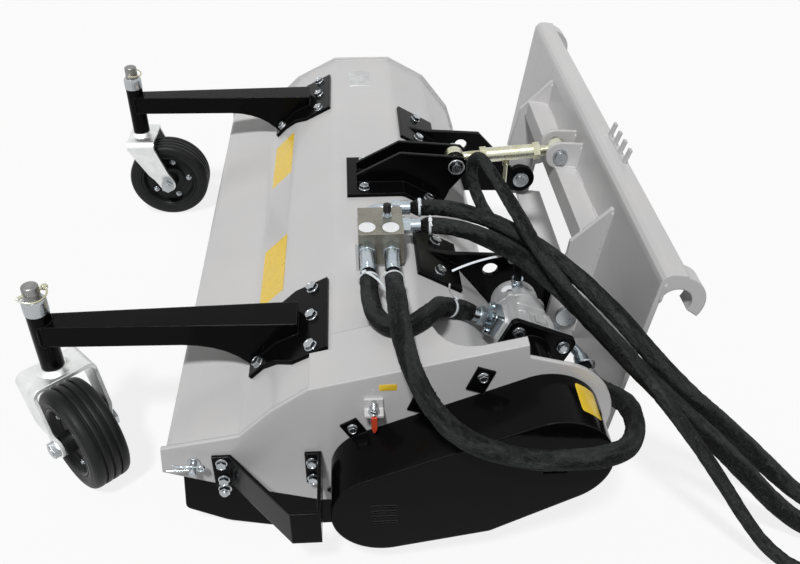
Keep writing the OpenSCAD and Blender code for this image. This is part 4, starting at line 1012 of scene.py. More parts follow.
PRESSURE, RETURN, FEED, BACK, DRAIN = range(5)
HOSES: tuple[Hose, ...] = (
    Hose("pressure_sleeve", "pressure_hose", 16.5, FarEnd.OBJECT, (
        (-425, 12, 398), (-450, 12, 398), (-495, 11, 396), (-540, 4, 394), (-572, -16, 396), (-584, -46, 400),
        (-572, -78, 411), (-545, -98, 405), (-505, -108, 379), (-472, -118, 353), (-450, -138, 332),
        (-443, -160, 321.2), (-443, -180, 312.3),
    ), 3.1),
    Hose("return_sleeve", "return_hose", 16.5, FarEnd.OBJECT, (
        (-425, -33, 398), (-450, -33, 398), (-500, -33, 412), (-545, -33, 426), (-585, -33, 433), (-630, -35, 431),
        (-680, -42, 420), (-725, -57, 401), (-763, -81, 377), (-791, -116, 355), (-808, -161, 338), (-816, -212, 327),
        (-817, -258, 320), (-814, -302, 317), (-809, -344, 317), (-792, -380, 317), (-757, -401, 314),
        (-715, -410, 306), (-675, -412, 292), (-637, -408, 272), (-602, -400, 251), (-570, -393.5, 234),
        (-541, -389.5, 223.5), (-519, -388.3, 219.6), (-501, -388.3, 219.6),
    ), 7.7),
    Hose("feed_sleeve", "feed_hose", 16.5, FarEnd.CONNECTOR, (
        (-206, -78, 398), (-206, -98, 398), (-209, -124, 399), (-221, -157, 402.5), (-250.3, -197.3, 407.2),
        (-291.7, -242.2, 409.9), (-347.4, -287.8, 410.3), (-410.5, -327.6, 410), (-472.6, -360.2, 409),
        (-529, -387.4, 405.3), (-577.7, -412.5, 395.9), (-617.6, -438.7, 378.1), (-647, -469.4, 351),
        (-664.6, -506.6, 315.2), (-671.9, -550.7, 271.9), (-674.4, -600.8, 222.8), (-678.7, -653.8, 170.4),
        (-687.1, -706, 118.5), (-696, -755.3, 72.8), (-703.6, -803.2, 40.1), (-713.6, -853.1, 17),
        (-726.9, -905.8, 16.5), (-741, -960, 16.5),
    ), 12.9),
    Hose("back_sleeve", "back_hose", 16.5, FarEnd.CONNECTOR, (
        (-272, -94, 398), (-272, -113, 398), (-276, -137, 398.3), (-291, -171, 399), (-321.1, -211.3, 399.8),
        (-360.7, -251.4, 399.1), (-411.2, -288.5, 397.2), (-467.6, -320.2, 394.5), (-523.6, -347.4, 390.4),
        (-575.1, -372.4, 383.5), (-620.3, -398.1, 371.8), (-657.2, -427.1, 353.4), (-683.9, -462, 326.6),
        (-701, -504, 290.2), (-712.1, -552.1, 243.9), (-722.4, -604, 190.6), (-733, -655.8, 135.8),
        (-740.3, -704.4, 85.2), (-745.3, -751.5, 46.2), (-753.8, -801.7, 24.7), (-766.4, -853.6, 17),
        (-779, -901.7, 16.5), (-790, -945, 16.5),
    ), 21.3),
    Hose("drain_sleeve", "drain_hose", 12.5, FarEnd.CONNECTOR, (
        (-370, -275, 335), (-370, -275, 345), (-365, -274.5, 356), (-350, -272, 366), (-325, -268, 372),
        (-290, -260, 374), (-250, -248, 375), (-205, -231, 384), (-172, -215, 412), (-160, -206, 450),
        (-168, -209, 481), (-194, -219, 497), (-232.9, -236.2, 486.5), (-278.9, -254.5, 470.8),
        (-333.7, -272.5, 453.1), (-393.2, -289.6, 438.5), (-452.7, -307.1, 427.9), (-510.7, -326.4, 419.7),
        (-565.8, -348.1, 412.2), (-616.6, -372.5, 402.5), (-660.6, -400.2, 386.7), (-695.4, -431.9, 361),
        (-721.1, -467.2, 324.1), (-739.8, -505.1, 277.2), (-754, -544.5, 223.1), (-766.5, -584.8, 164),
        (-781.2, -624.8, 104.8), (-799.3, -665, 55.7), (-818, -707.8, 26.3), (-834.1, -753.1, 13),
        (-846.6, -797.1, 12.5), (-857, -838, 12.5),
    ), 34.2, 0.05),
)


@dataclass(frozen=True)
class CableTie:
    """A white cable tie round a hose, with its head and loose tail."""

    name: str
    hose: int
    near: Point
    head_turn: float
    tail: float
    droop: float
    over: tuple[Point, Point] | None = None
    width: float = 0.0048
    thick: float = 0.0013
    slack: float = 1.04
    sides: int = 48
    head: Point = (0.0026, 0.0037, 0.0042)
    head_lift: float = 0.0022
    head_corner: float = 0.001
    head_chamfer: float = 0.0008
    tail_lift: float = 0.003
    tail_steps: int = 28

    def build(self) -> None:
        """Make the tie where the hose passes nearest to the given point."""
        hose = HOSES[self.hose]
        line = hose.line()
        goal = spot(*self.near)
        index = min(range(2, len(line) - 2), key=lambda k: (line[k] - goal).length)
        centre, axis = line[index], (line[index + 1] - line[index - 1]).normalized()
        place = frame_at(centre, axis, UPWARD)
        radius = hose.radius * MM * self.slack + self.thick
        shape = Shape()
        turns = [self.head_turn + math.tau * k / self.sides for k in range(self.sides + 1)]
        loop = [place @ Vector((radius * math.cos(a), radius * math.sin(a), 0.0)) for a in turns]
        outward = [(point - centre).normalized() for point in loop]
        shape.sweep(loop, outward, flat_section(self.width, self.thick))
        head, out = loop[0], outward[0]
        along = axis.cross(out)
        self.block(shape, head + out * self.head_lift, along, out)
        self.strip(shape, head + out * self.tail_lift, along, out, axis)
        shape.finish(self.name, Body.DECK, TIE_PLASTIC, None, 35.0)

    def block(self, shape: Shape, place: Vector, along: Vector, out: Vector) -> None:
        """Add the tie's head, a block with chamfered edges.

        Args:
            shape: Mesh to add to.
            place: Middle of the head.
            along: Direction of the strap through it.
            out: Direction away from the hose.
        """
        box = frame_at(place, along, out)
        deep, wide, end = self.head
        cut, c = self.head_chamfer, self.head_corner
        rings = []
        for height, inset in ((-end, cut), (cut - end, 0.0), (end - cut, 0.0), (end, cut)):
            u, v = deep - inset, wide - inset
            corners = ((-u, -v + c), (-u + c, -v), (u - c, -v), (u, -v + c))
            ring = [*corners, *((-a, -b) for a, b in corners)]
            rings.append(shape.ring(box @ Vector((a, b, height)) for a, b in ring))
        shape.tube(rings)

    def strip(self, shape: Shape, place: Vector, along: Vector, out: Vector, axis: Vector) -> None:
        """Add the loose tail, which springs away from the hose and droops.

        Args:
            shape: Mesh to add to.
            place: Start of the tail in the head.
            along: Direction in which it leaves.
            out: Direction away from the hose.
            axis: Direction of the hose.
        """
        line = []
        for k in range(self.tail_steps + 1):
            t = k / self.tail_steps
            reach = self.tail * t
            if self.over:
                bow, tip = (spot(*goal) for goal in self.over)
                point = place * (1 - t) ** 2 + bow * 2 * t * (1 - t) + tip * t * t
            else:
                point = place + along * reach * (1 - 0.32 * t) + out * 0.25 * reach * (1 - 0.5 * t)
                point += axis * 0.22 * self.tail * t * t + Vector((0.0, 0.0, -self.droop * t * t))
            line.append(point)
        shape.sweep(line, [out] * len(line), flat_section(self.width * 0.9, self.thick * 0.8))


@dataclass(frozen=True)
class Label:
    """A plain film or plate with rounded corners, laid on a flat face."""

    name: str
    body: Body
    look: Finish
    corners: tuple[Point, Point, Point]
    round_off: float = 0.004
    thick: float = 0.0004

    def build(self) -> None:
        """Make the label from an origin corner and its two neighbours."""
        start, right, up = (spot(*corner) for corner in self.corners)
        across, above = right - start, up - start
        normal = across.cross(above).normalized()
        u, v = across.normalized(), above.normalized()
        wide, high, r = across.length, above.length, self.round_off
        outline = []
        for cx, cy, turn in ((wide - r, r, -90), (wide - r, high - r, 0), (r, high - r, 90), (r, r, 180)):
            for k in range(7):
                angle = math.radians(turn + 15 * k)
                outline.append((cx + r * math.cos(angle), cy + r * math.sin(angle)))
        shape = Shape()
        rings = []
        for inset, height in ((0.0, 0.0), (0.0, 0.7 * self.thick), (0.0003, self.thick)):
            ring = []
            for a, b in outline:
                a += inset * (1 if a < wide / 2 else -1)
                b += inset * (1 if b < high / 2 else -1)
                ring.append(start + u * a + v * b + normal * height)
            rings.append(shape.ring(ring))
        shape.tube(rings)
        shape.finish(self.name, self.body, self.look, None, 30.0)


def hex_ring(corner: float, count: int = 36) -> list[Point]:
    """Sample a hexagon's outline.

    Args:
        corner: Radius of its corners.
        count: Number of points.

    Returns:
        Cosine, sine and radius of each point.
    """
    flat = corner * math.cos(math.radians(30))
    points = []
    for k in range(count):
        angle = math.tau * k / count
        off = (angle % math.radians(60)) - math.radians(30)
        points.append((math.cos(angle), math.sin(angle), flat / math.cos(off)))
    return points


def add_hexagon(shape: Shape, place: Matrix, corner: float, height: float, dish: float = 0.0) -> None:
    """Add a chamfered hexagon, as of a bolt's head or a nut.

    Args:
        shape: Mesh to add to.
        place: Seat of the hexagon, its Z axis outwards.
        corner: Radius of its corners.
        height: Its height.
        dish: Depth of the hollow in its top.
    """
    outline = hex_ring(corner)
    crown = 0.95 * corner * math.cos(math.radians(30))
    rings = [shape.ring(place @ Vector((c * r, s * r, 0.0)) for c, s, r in outline)]
    rings.append(shape.ring(place @ Vector((c * r, s * r, height - 0.55 * (r - crown))) for c, s, r in outline))
    for share, depth in ((1.0, 0.0), (0.86, 0.0), (0.78, dish), (0.40, 1.15 * dish), (0.12, dish)):
        top = [Vector((c * crown * share, s * crown * share, height - depth)) for c, s, _ in outline]
        rings.append(shape.ring(place @ point for point in top))
    shape.tube(rings)


def thread(radius: float, start: float, end: float, pitch: float) -> list[Pair]:
    """Draw the profile of a thread with chamfered ends.

    Args:
        radius: Outer radius.
        start: Where it starts.
        end: Where it ends.
        pitch: Distance between its crests.

    Returns:
        Radius and height pairs.
    """
    depth = 0.45 * pitch
    count = max(2, int((end - start) / pitch))
    step = (end - start) / count
    profile = [(radius - 1.6 * depth, start)]
    for k in range(count):
        profile.append((radius - depth, start + (k + 0.15) * step))
        profile.append((radius, start + (k + 0.45) * step))
        profile.append((radius, start + (k + 0.60) * step))
        profile.append((radius - depth, start + (k + 0.90) * step))
    profile.append((radius - 1.6 * depth, end))
    return profile


def add_plate(shape: Shape, place: Matrix, outline: Sequence[Pair], thick: float, chamfer: float) -> None:
    """Add a flat piece with chamfered edges.

    Args:
        shape: Mesh to add to.
        place: Plane of the outline, its Z axis through the piece.
        outline: Corners in millimetres, anticlockwise.
        thick: Thickness in millimetres.
        chamfer: Size of the chamfers in millimetres.
    """
    middle = Vector((sum(x for x, _ in outline), sum(y for _, y in outline))) / len(outline)
    rings = []
    for height, inset in ((0.0, chamfer), (chamfer, 0.0), (thick - chamfer, 0.0), (thick, chamfer)):
        ring = []
        for index, corner in enumerate(outline):
            before, after = Vector(outline[index - 1]), Vector(outline[(index + 1) % len(outline)])
            here = Vector(corner)
            first, second = (here - before).normalized(), (after - here).normalized()
            inward = Vector((-first.y - second.y, first.x + second.x)) / max(0.3, 1.0 + first.dot(second))
            moved = here + inward * inset if inset else here
            ring.append(place @ (Vector((moved.x, moved.y, height)) * MM))
        rings.append(shape.ring(ring))
    shape.tube(rings)


@dataclass(frozen=True)
class Tensioner:
    """The belt tensioner: a painted lug, its adjusting screw and the pointer."""

    plate: float = -670.0
    middle: Pair = (12.0, 312.0)

    def build(self) -> None:
        """Make the three pieces in place of the CAD node."""
        y, z = self.middle
        x = self.plate
        lug = Shape()
        profile = ((0, 0), (0, 26), (-5, 26), (-5, 8), (-7, 6), (-22, 6), (-22, 0))
        add_plate(lug, frame_at(spot(x, y + 16, z - 14), -AHEAD, SIDEWAYS), profile, 32.0, 0.7)
        screw = Shape()
        foot = frame_at(spot(x - 14, y, z - 30), UPWARD)
        screw.lathe(foot, thread(4.0 * MM, 0.0, 46.0 * MM, 1.5 * MM), 28)
        washer = ((4.2, 0.0), (9.6, 0.0), (9.6, 1.6), (4.2, 1.6))
        screw.lathe(lifted(foot, 22.0 * MM), metres(washer), 36)
        add_hexagon(screw, lifted(foot, 23.6 * MM), 8.6 * MM, 7.0 * MM)
        add_hexagon(screw, spun(lifted(foot, 8.0 * MM), 0.4), 8.6 * MM, 7.0 * MM)
        pointer = Shape()
        flag = ((1.5, 0), (5, 9), (5, 34), (-5, 34), (-5, 9), (-1.5, 0))
        add_plate(pointer, frame_at(spot(x - 22, y, z - 44), -SIDEWAYS, -AHEAD), flag, 4.0, 0.5)
        for name, shape, look in (
            ("tensioner_lug", lug, GREY_PAINT),
            ("tensioner_screw", screw, ZINC),
            ("tensioner_pointer", pointer, RED_PAINT),
        ):
            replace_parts(shape.finish(name, Body.DECK, look, None, 30.0), "belt_tensioner")


@dataclass(frozen=True)
class SkidPins:
    """The skids' cross pins with their spring clips, and the skids' bolts."""

    plate: float = 670.0
    runner: float = 662.0
    skid: float = 10.0
    pin: Pair = (322.0, 185.0)
    front: Pair = (278.0, 107.0)
    rear: Pair = (-150.0, 107.0)
    wire: float = 1.9

    def build(self) -> None:
        """Make the turned pieces and the bent clips in place of the CAD node."""
        steel, clips = Shape(), Shape()
        for side in Side:
            self.turned(steel, side)
            self.clip(clips, side)
        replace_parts(steel.finish("skid_pin_set", Body.DECK, ZINC, "zinc", 32.0), "skid_pins")
        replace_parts(clips.finish("skid_clips", Body.DECK, BLUE_ZINC, None, 60.0), "skid_pins")

    def turned(self, shape: Shape, side: Side) -> None:
        """Add one side's pin and bolts.

        Args:
            shape: Mesh to add to.
            side: Side of the deck.
        """
        out = Vector((side, 0, 0))
        shank = metres(((6.0, 0.0), (6.0, self.skid)))
        stem = (
            (6.0, 0.0), (11.4, 0.0), (12.0, 0.6), (12.0, 2.6), (11.4, 3.2), (6.0, 3.4), (6.0, 24.0), (5.2, 25.4),
            (3.0, 26.0),
        )
        shape.lathe(frame_at(spot(side * self.plate, *self.pin), out), metres(stem), 36)
        foot = frame_at(spot(side * self.runner, *self.front), out)
        washer = ((6.0, 0.0), (11.6, 0.0), (12.0, 0.4), (12.0, 1.7), (11.5, 2.2), (6.0, 2.2))
        shape.lathe(foot, metres(washer), 36)
        add_hexagon(shape, spun(lifted(foot, 2.2 * MM), 0.5), 10.6 * MM, 8.4 * MM)
        shape.lathe(turned_over(foot), shank, 24)
        shape.lathe(foot, thread(6.0 * MM, 9.0 * MM, 16.0 * MM, 1.75 * MM), 28)
        back = frame_at(spot(side * (self.runner - self.skid), *self.rear), -out)
        add_hexagon(shape, back, 11.0 * MM, 8.6 * MM)
        shape.lathe(turned_over(back), shank, 24)

    def clip(self, shape: Shape, side: Side) -> None:
        """Bend one spring clip: a straight leg through the pin, a coil and a waved leg over it.

        Args:
            shape: Mesh to add to.
            side: Side of the deck.
        """
        y, z = self.pin
        x = side * (self.plate + 16.0)
        plan = [(44.0, 0.0, 0.0), (20.0, 0.0, 0.0), (0.0, 0.0, 0.0), (-14.0, 0.0, 0.0)]
        for k in range(1, 19):
            turn = math.tau * k / 12
            plan.append((-14.0 - 6.0 * math.sin(turn), 6.0 - 6.0 * math.cos(turn), 0.22 * k))
        plan += [(-8.0, 9.6, 2.6), (0.0, 8.4, 0.6), (8.0, 9.2, 0.2), (20.0, 8.6, 0.0), (32.0, 13.0, 0.0)]
        line = smooth_line([spot(x + side * o, y + u, z + w) for u, w, o in plan], 1.6 * MM)
        shape.sweep(line, [SIDEWAYS] * len(line), round_section(self.wire * MM))


@dataclass(frozen=True)
class TestPoint:
    """A capped measuring nipple on top of the valve block."""

    foot: Point = (-288.0, -28.5, 428.0)

    def build(self) -> None:
        """Make the steel nipple and its cap."""
        place = frame_at(spot(*self.foot), UPWARD)
        nipple = Shape()
        add_hexagon(nipple, place, 9.5 * MM, 7.0 * MM)
        stem = [(6.0, 6.8), (6.0, 9.0), (7.4, 9.4), (7.4, 12.0), (5.6, 12.6), (5.6, 17.0)]
        nipple.lathe(place, metres(stem), 32)
        nipple.finish("test_nipple", Body.DECK, BLUE_ZINC, "zinc", 30.0)
        cap = Shape()
        outline = [(6.2, 14.0), (7.6, 14.4)]
        for k in range(5):
            outline += [(7.8, 15.4 + 2.4 * k), (7.8, 16.6 + 2.4 * k), (7.1, 17.0 + 2.4 * k), (7.1, 17.4 + 2.4 * k)]
        outline += [(7.8, 27.6), (7.4, 29.6), (6.0, 30.6), (3.0, 30.9)]
        cap.lathe(place, metres(outline), 36)
        cap.finish("test_cap", Body.DECK, CAP_PLASTIC, None, 35.0)


@dataclass(frozen=True)
class CrimpSet:
    """Crimp rings on the hose ends' ferrules."""

    name: str
    ends: tuple[tuple[Point, Point, float], ...]

    def build(self) -> None:
        """Make all rings as one piece."""
        shape = Shape()
        for foot, way, radius in self.ends:
            place = frame_at(spot(*foot), Vector(way))
            for k in range(3):
                low = 2.0 + 6.0 * k
                ring = (
                    (radius - 0.4, low), (radius + 0.5, low + 0.5),
                    (radius + 0.5, low + 3.4), (radius - 0.4, low + 3.9),
                )
                shape.lathe(place, metres(ring), 40)
        shape.finish(self.name, Body.DECK, BLUE_ZINC, "zinc", 30.0)


@dataclass(frozen=True)
class BoltSet:
    """Hexagon bolts with washers, which stand for one CAD node."""

    name: str
    node: str
    seats: tuple[Seat, ...]
    corner: float
    head: float
    washer: float
    grip: float
    shank: float
    nut: bool
    washer_thick: float = 2.0
    nut_high: float = 10.0
    nut_thread: float = 13.0
    pitch: float = 1.75
    dish: float = 0.9

    def build(self) -> None:
        """Make all bolts of the set as one piece."""
        shape = Shape()
        for index, (seat, out) in enumerate(self.seats):
            self.one(shape, spun(frame_at(spot(*seat), Vector(out)), 0.37 + 1.13 * index))
        made = shape.finish(self.name, Body.DECK, ZINC, "zinc", 30.0)
        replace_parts(made, self.node)

    def one(self, shape: Shape, place: Matrix) -> None:
        """Add one bolt.

        Args:
            shape: Mesh to add to.
            place: Seat of the bolt, Z axis out of the face.
        """
        rim, thick, shank, grip = (size * MM for size in (self.washer, self.washer_thick, self.shank, self.grip))
        washer = [(shank, 0.0), (rim - 0.0004, 0.0), (rim, 0.0004), (rim, thick - 0.0006), (rim - 0.0006, thick)]
        shape.lathe(place, [*washer, (shank, thick)], 40)
        add_hexagon(shape, lifted(place, thick), self.corner * MM, self.head * MM, self.dish * MM)
        below = turned_over(place)
        rod = [(shank, 0.0), (shank, grip)]
        if self.nut:
            rod += thread(shank, grip, grip + self.nut_thread * MM, self.pitch * MM)
        shape.lathe(below, rod, 24)
        if self.nut:
            add_hexagon(shape, lifted(below, grip), self.corner * MM, self.nut_high * MM)


@dataclass(frozen=True)
class Seam:
    """One weld seam along a polyline of the part's source."""

    points: tuple[Point, ...]
    radius: float = 3.0


@dataclass(frozen=True)
class WeldSet:
    """Painted weld seams on one body."""

    name: str
    body: Body
    look: Finish
    seams: tuple[Seam, ...]
    ripple: float = 0.0034
    step: float = 0.0012
    taper: float = 0.006
    sides: int = 12

    def build(self) -> None:
        """Make all seams of the set as one piece."""
        shape = Shape()
        for index, seam in enumerate(self.seams):
            self.bead(shape, seam, 5.3 * index)
        shape.finish(self.name, self.body, self.look, None, 60.0)

    def bead(self, shape: Shape, seam: Seam, seed: float) -> None:
        """Add one bead with ripples and uneven toes.

        Args:
            shape: Mesh to add to.
            seam: The seam.
            seed: Offset of the unevenness.
        """
        corners = [spot(*point) for point in seam.points]
        line: list[Vector] = []
        for a, b in zip(corners, corners[1:]):
            count = max(2, round((b - a).length / self.step))
            line.extend(a.lerp(b, k / count) for k in range(count))
        line.append(corners[-1])
        rings, gone, total = [], 0.0, length_of(line)
        for index, point in enumerate(line):
            before, after = line[max(index - 2, 0)], line[min(index + 2, len(line) - 1)]
            ahead = (after - before).normalized()
            gone += (point - line[index - 1]).length if index else 0.0
            place = frame_at(point, ahead, Vector((0.31, 0.52, 0.79)))
            end = min(1.0, min(gone, total - gone) / self.taper + 0.25)
            wave = 0.86 + 0.14 * abs(math.sin(math.pi * gone / self.ripple))
            ring = []
            for k in range(self.sides):
                angle = math.tau * k / self.sides
                rough = 1.0 + 0.16 * noise.noise(Vector((math.cos(angle) + seed, math.sin(angle), 70.0 * gone)))
                r = seam.radius * MM * wave * end * rough
                ring.append(place @ Vector((r * math.cos(angle), r * math.sin(angle), 0.0)))
            rings.append(shape.ring(ring))
        shape.tube(rings)


@dataclass(frozen=True)
class Coupler:
    """A quick coupler on a hose's free end: crimped ferrule, hexagon, knurled sleeve and nose."""

    name: str
    hose: int
    radius: float

    def build(self) -> bpy.types.Object:
        """Make the coupler.

        Returns:
            The coupler.
        """
        hose = HOSES[self.hose]
        a, b = (spot(*point) for point in hose.route[-2:])
        way = b - a
        way.z = 0.0
        place = frame_at(b, way)
        shape = Shape()
        ferrule = [(3.0, -4.0), (1.2, -3.0)]
        for k in range(3):
            low = 1.0 + 7.5 * k
            ferrule += [(1.0, low), (1.0, low + 4.8), (2.2, low + 5.4), (2.2, low + 6.9)]
        ferrule += [(1.0, 24.0), (3.0, 24.4)]
        sleeve = [(4.8, 37.5), (3.0, 39.0)]
        for k in range(6):
            low = 42.0 + 3.5 * k
            sleeve += [(3.0, low), (3.9, low + 0.9), (3.9, low + 1.8), (3.0, low + 2.7)]
        sleeve += [
            (3.0, 65.0), (4.2, 66.2), (4.2, 68.2), (3.0, 69.4), (3.4, 72.0), (5.5, 72.2), (5.5, 78.0), (6.6, 78.6),
            (6.6, 80.6), (5.5, 81.2), (5.5, 85.0), (6.5, 86.0), (8.5, 86.0), (9.0, 84.0),
        ]
        shape.lathe(place, metres((self.radius - inset, height) for inset, height in ferrule), 40)
        add_hexagon(shape, lifted(place, 24.0 * MM), self.radius * MM, 14.0 * MM)
        shape.lathe(place, metres((self.radius - inset, height) for inset, height in sleeve), 48)
        made = shape.finish(self.name, Body.DECK, BLUE_ZINC, "zinc", 30.0)
        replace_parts(made, "hose_couplers")
        return made


@dataclass(frozen=True)
class CurvedLabel:
    """A plain oval or rectangle of film on a round surface whose axis runs along X."""

    name: str
    look: Finish
    axis: Pair
    radius: float
    middle: Pair
    size: Pair
    power: float
    tilt: float = 0.0
    sides: int = 48

    def build(self) -> None:
        """Make the label as rings from rim to middle, bent round the surface."""
        shape = Shape()
        rings = []
        for share, lift in ((1.0, 0.05), (1.0, 0.35), (0.97, 0.45), (0.7, 0.45), (0.35, 0.45)):
            ring = []
            for k in range(self.sides):
                a = math.tau * k / self.sides
                u = math.copysign(abs(math.cos(a)) ** self.power, math.cos(a)) * self.size[0] / 2 * share
                v = math.copysign(abs(math.sin(a)) ** self.power, math.sin(a)) * self.size[1] / 2 * share
                c, s = math.cos(self.tilt), math.sin(self.tilt)
                u, v = c * u - s * v, s * u + c * v
                angle = math.radians(self.middle[1]) + v / self.radius
                r = self.radius + lift
                y, z = self.axis[0] + r * math.cos(angle), self.axis[1] + r * math.sin(angle)
                ring.append(spot(self.middle[0] + u, y, z))
            rings.append(shape.ring(ring))
        for first, second in zip(rings, rings[1:]):
            shape.skin(first, second)
        shape.cap(rings[-1])
        shape.finish(self.name, Body.DECK, self.look, None, 40.0)


def mirrored(half: Sequence[Pair]) -> list[Pair]:
    """Complete a profile that is the same on both sides.

    Args:
        half: Radius and height pairs of the side with positive heights.

    Returns:
        The whole profile.
    """
    return [*half, *((radius, -height) for radius, height in reversed(half))]


@dataclass(frozen=True)
class Castor:
    """One castor: pressed rim with nuts, ribbed tyre, bent fork, stem, collar and linch pin."""

    side: Side
    swivel: float
    wheel: Body
    fork: Body
    post: Pair = (ARM_X, POST_Y)
    trail: float = 57.0
    axle_h: float = 105.0
    bolt_ring: float = 52.0
    bolt_out: float = 18.4
    pin_h: float = 409.0
    eye: float = 20.3
    eye_square: float = 420.0
    hub_x: float = 52.0
    step_out: float = 8.0
    bend: Pair = (46.0, 217.5)
    bend_r: float = 14.0
    strap_y: Pair = (-38.0, 32.0)
    rear_foot: Pair = (-76.6, 111.0)
    front_foot: Pair = (-39.2, 95.0)

    @property
    def word(self) -> str:
        """Name of the castor's side."""
        return self.side.name.lower()

    def point(self, x: float, y: float, z: float) -> Vector:
        """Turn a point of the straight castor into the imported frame."""
        c, s = math.cos(self.swivel), math.sin(self.swivel)
        return spot(self.side * self.post[0] + c * x - s * y, self.post[1] + s * x + c * y, z)

    def build(self) -> None:
        """Make all pieces of the castor."""
        across = self.point(1, 0, 0) - self.point(0, 0, 0)
        axle = frame_at(self.point(0, -self.trail, self.axle_h), across)
        stem = frame_at(self.point(0, 0, 0), UPWARD, across)
        self.rim(axle)
        self.tyre(axle)
        self.nuts(across)
        self.strap(stem)
        self.collar(stem)

    def rim(self, axle: Matrix) -> None:
        """Make the dished rim with its curled lips.

        Args:
            axle: Middle of the wheel, Z along the axle.
        """
        half = (
            (66.0, 1.0), (66.0, 30.0), (69.0, 33.5), (72.4, 34.2), (73.0, 35.4), (72.2, 36.9), (70.4, 37.2),
            (68.6, 36.2), (66.6, 33.0), (64.8, 27.0), (63.4, 21.6), (61.4, 19.2), (58.0, 18.4), (45.0, 18.4),
            (42.4, 17.4), (39.0, 14.6), (35.0, 13.6), (28.0, 14.4), (23.6, 17.0), (21.6, 21.0), (21.0, 45.6),
            (19.6, 47.5), (10.2, 47.6),
        )
        shape = Shape()
        shape.hoop(axle, mirrored(half))
        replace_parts(shape.finish(f"rim_{self.word}", self.wheel, RIM, "rim_plastic", 32.0), f"wheel_rim_{self.word}")

    def tyre(self, axle: Matrix) -> None:
        """Make the tyre with rounded shoulders and grooved tread.

        Args:
            axle: Middle of the wheel, Z along the axle.
        """
        half = (
            (100.2, 0.3), (100.2, 1.8), (104.3, 2.5), (105.0, 3.4), (105.0, 11.8), (104.3, 12.7), (100.2, 13.4),
            (100.2, 17.0), (104.3, 17.7), (104.9, 18.6), (104.8, 24.0), (104.2, 28.4), (102.7, 32.0), (100.2, 34.8),
            (96.6, 36.8), (92.0, 37.8), (87.0, 38.0), (86.4, 38.5), (84.6, 38.5), (84.0, 38.0), (78.0, 37.6),
            (75.6, 37.1), (74.0, 36.0), (72.8, 34.4), (66.3, 33.0), (66.3, 1.0),
        )
        shape = Shape()
        shape.hoop(axle, mirrored(half), 96)
        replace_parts(shape.finish(f"tyre_{self.word}", self.wheel, TYRE, "tyre", 38.0), f"wheel_tyre_{self.word}")

    def nuts(self, across: Vector) -> None:
        """Make the nuts on both faces of the rim.

        Args:
            across: Direction of the axle.
        """
        shape = Shape()
        washer = metres(((3.6, 0.0), (7.6, 0.0), (7.6, 1.0), (7.2, 1.4), (3.6, 1.4)))
        for out in (-1, 1):
            for k in range(5):
                turn = math.radians(-(72 * k + 20) - 90)
                y = -self.trail + self.bolt_ring * math.cos(turn)
                z = self.axle_h + self.bolt_ring * math.sin(turn)
                seat = self.point(out * self.bolt_out, y, z)
                place = spun(frame_at(seat, across * out), 0.5 * k)
                shape.lathe(place, washer, 32)
                add_hexagon(shape, lifted(place, 0.0014), 6.4 * MM, 4.6 * MM)
                shape.lathe(place, thread(3.6 * MM, 5.6 * MM, 8.8 * MM, 1.2 * MM), 20)
        shape.finish(f"rim_nuts_{self.word}", self.wheel, ZINC, "zinc", 30.0)

    def reach(self, z: float) -> Pair:
        """Find the edges of a fork leg at a height.

        Args:
            z: Height in millimetres.

        Returns:
            Its rear and front edge.
        """
        drop = math.sqrt(max(0.0, self.eye_square - (z - self.axle_h) ** 2))
        edges = []
        for sign, (y, low), top in zip((-1, 1), (self.rear_foot, self.front_foot), self.strap_y):
            slope = y + (z - low) / (self.bend[1] - low) * (top - y)
            edges.append(sign * drop - self.trail if z < low else slope)
        return edges[0], min(self.strap_y[1], edges[1])

    def strap(self, stem: Matrix) -> None:
        """Make the fork, bent from one strap whose legs step in to the hub, with boss and stem.

        Args:
            stem: Foot of the stem's axis, X along the axle.
        """
        leg = []
        for k in range(8):
            z = self.axle_h - self.eye * math.cos(math.radians(90 * k / 8))
            leg.append((self.hub_x, z, *self.reach(z)))
        for z in (105, 108, 111, 116, 122, 127, 132, 137, 142, 148, 156, 170, 186, 202, 217.5):
            t = min(1.0, max(0.0, (z - 118.0) / 30.0))
            leg.append((self.hub_x + self.step_out * t * t * (3 - 2 * t), float(z), *self.reach(float(z))))
        for k in range(1, 10):
            a = math.radians(10 * k)
            x, z = self.bend[0] + self.bend_r * math.cos(a), self.bend[1] + self.bend_r * math.sin(a)
            leg.append((x, z, *self.strap_y))
        line = [*leg, *((-x, z, y0, y1) for x, z, y0, y1 in reversed(leg))]
        shape = Shape()
        rings = []
        for index, (x, z, y0, y1) in enumerate(line):
            before, after = line[max(index - 1, 0)], line[min(index + 1, len(line) - 1)]
            ahead = Vector((after[0] - before[0], after[1] - before[1])).normalized()
            out = Vector((ahead.y, -ahead.x))
            thick, c = 4.0 + 0.5 * abs(out.y), 0.9
            section = (
                (-thick, y0 + c), (-thick, y1 - c), (c - thick, y1), (thick - c, y1),
                (thick, y1 - c), (thick, y0 + c), (thick - c, y0), (c - thick, y0),
            )
            rings.append(shape.ring(stem @ (Vector((x + out.x * t, y, z + out.y * t)) * MM) for t, y in section))
        shape.tube(rings)
        boss = ((31.5, 235.0), (31.2, 236.6), (28.4, 238.4), (25.4, 240.8), (23.6, 243.0), (23.0, 244.1), (15.1, 244.1))
        shape.lathe(stem, metres(boss), 48)
        node = f"castor_fork_{self.word}"
        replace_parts(shape.finish(f"fork_{self.word}", self.fork, GALVANISED, "galvanised", 34.0), node)
        shaft = Shape()
        ends = ((14.6, 236.2), (15.0, 237.0), (15.0, 421.4), (14.2, 423.4), (12.4, 424.8), (11.6, 425.0))
        shaft.lathe(stem, metres(ends), 48)
        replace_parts(shaft.finish(f"stem_{self.word}", self.fork, DULL_STEEL, "galvanised", 34.0), node)

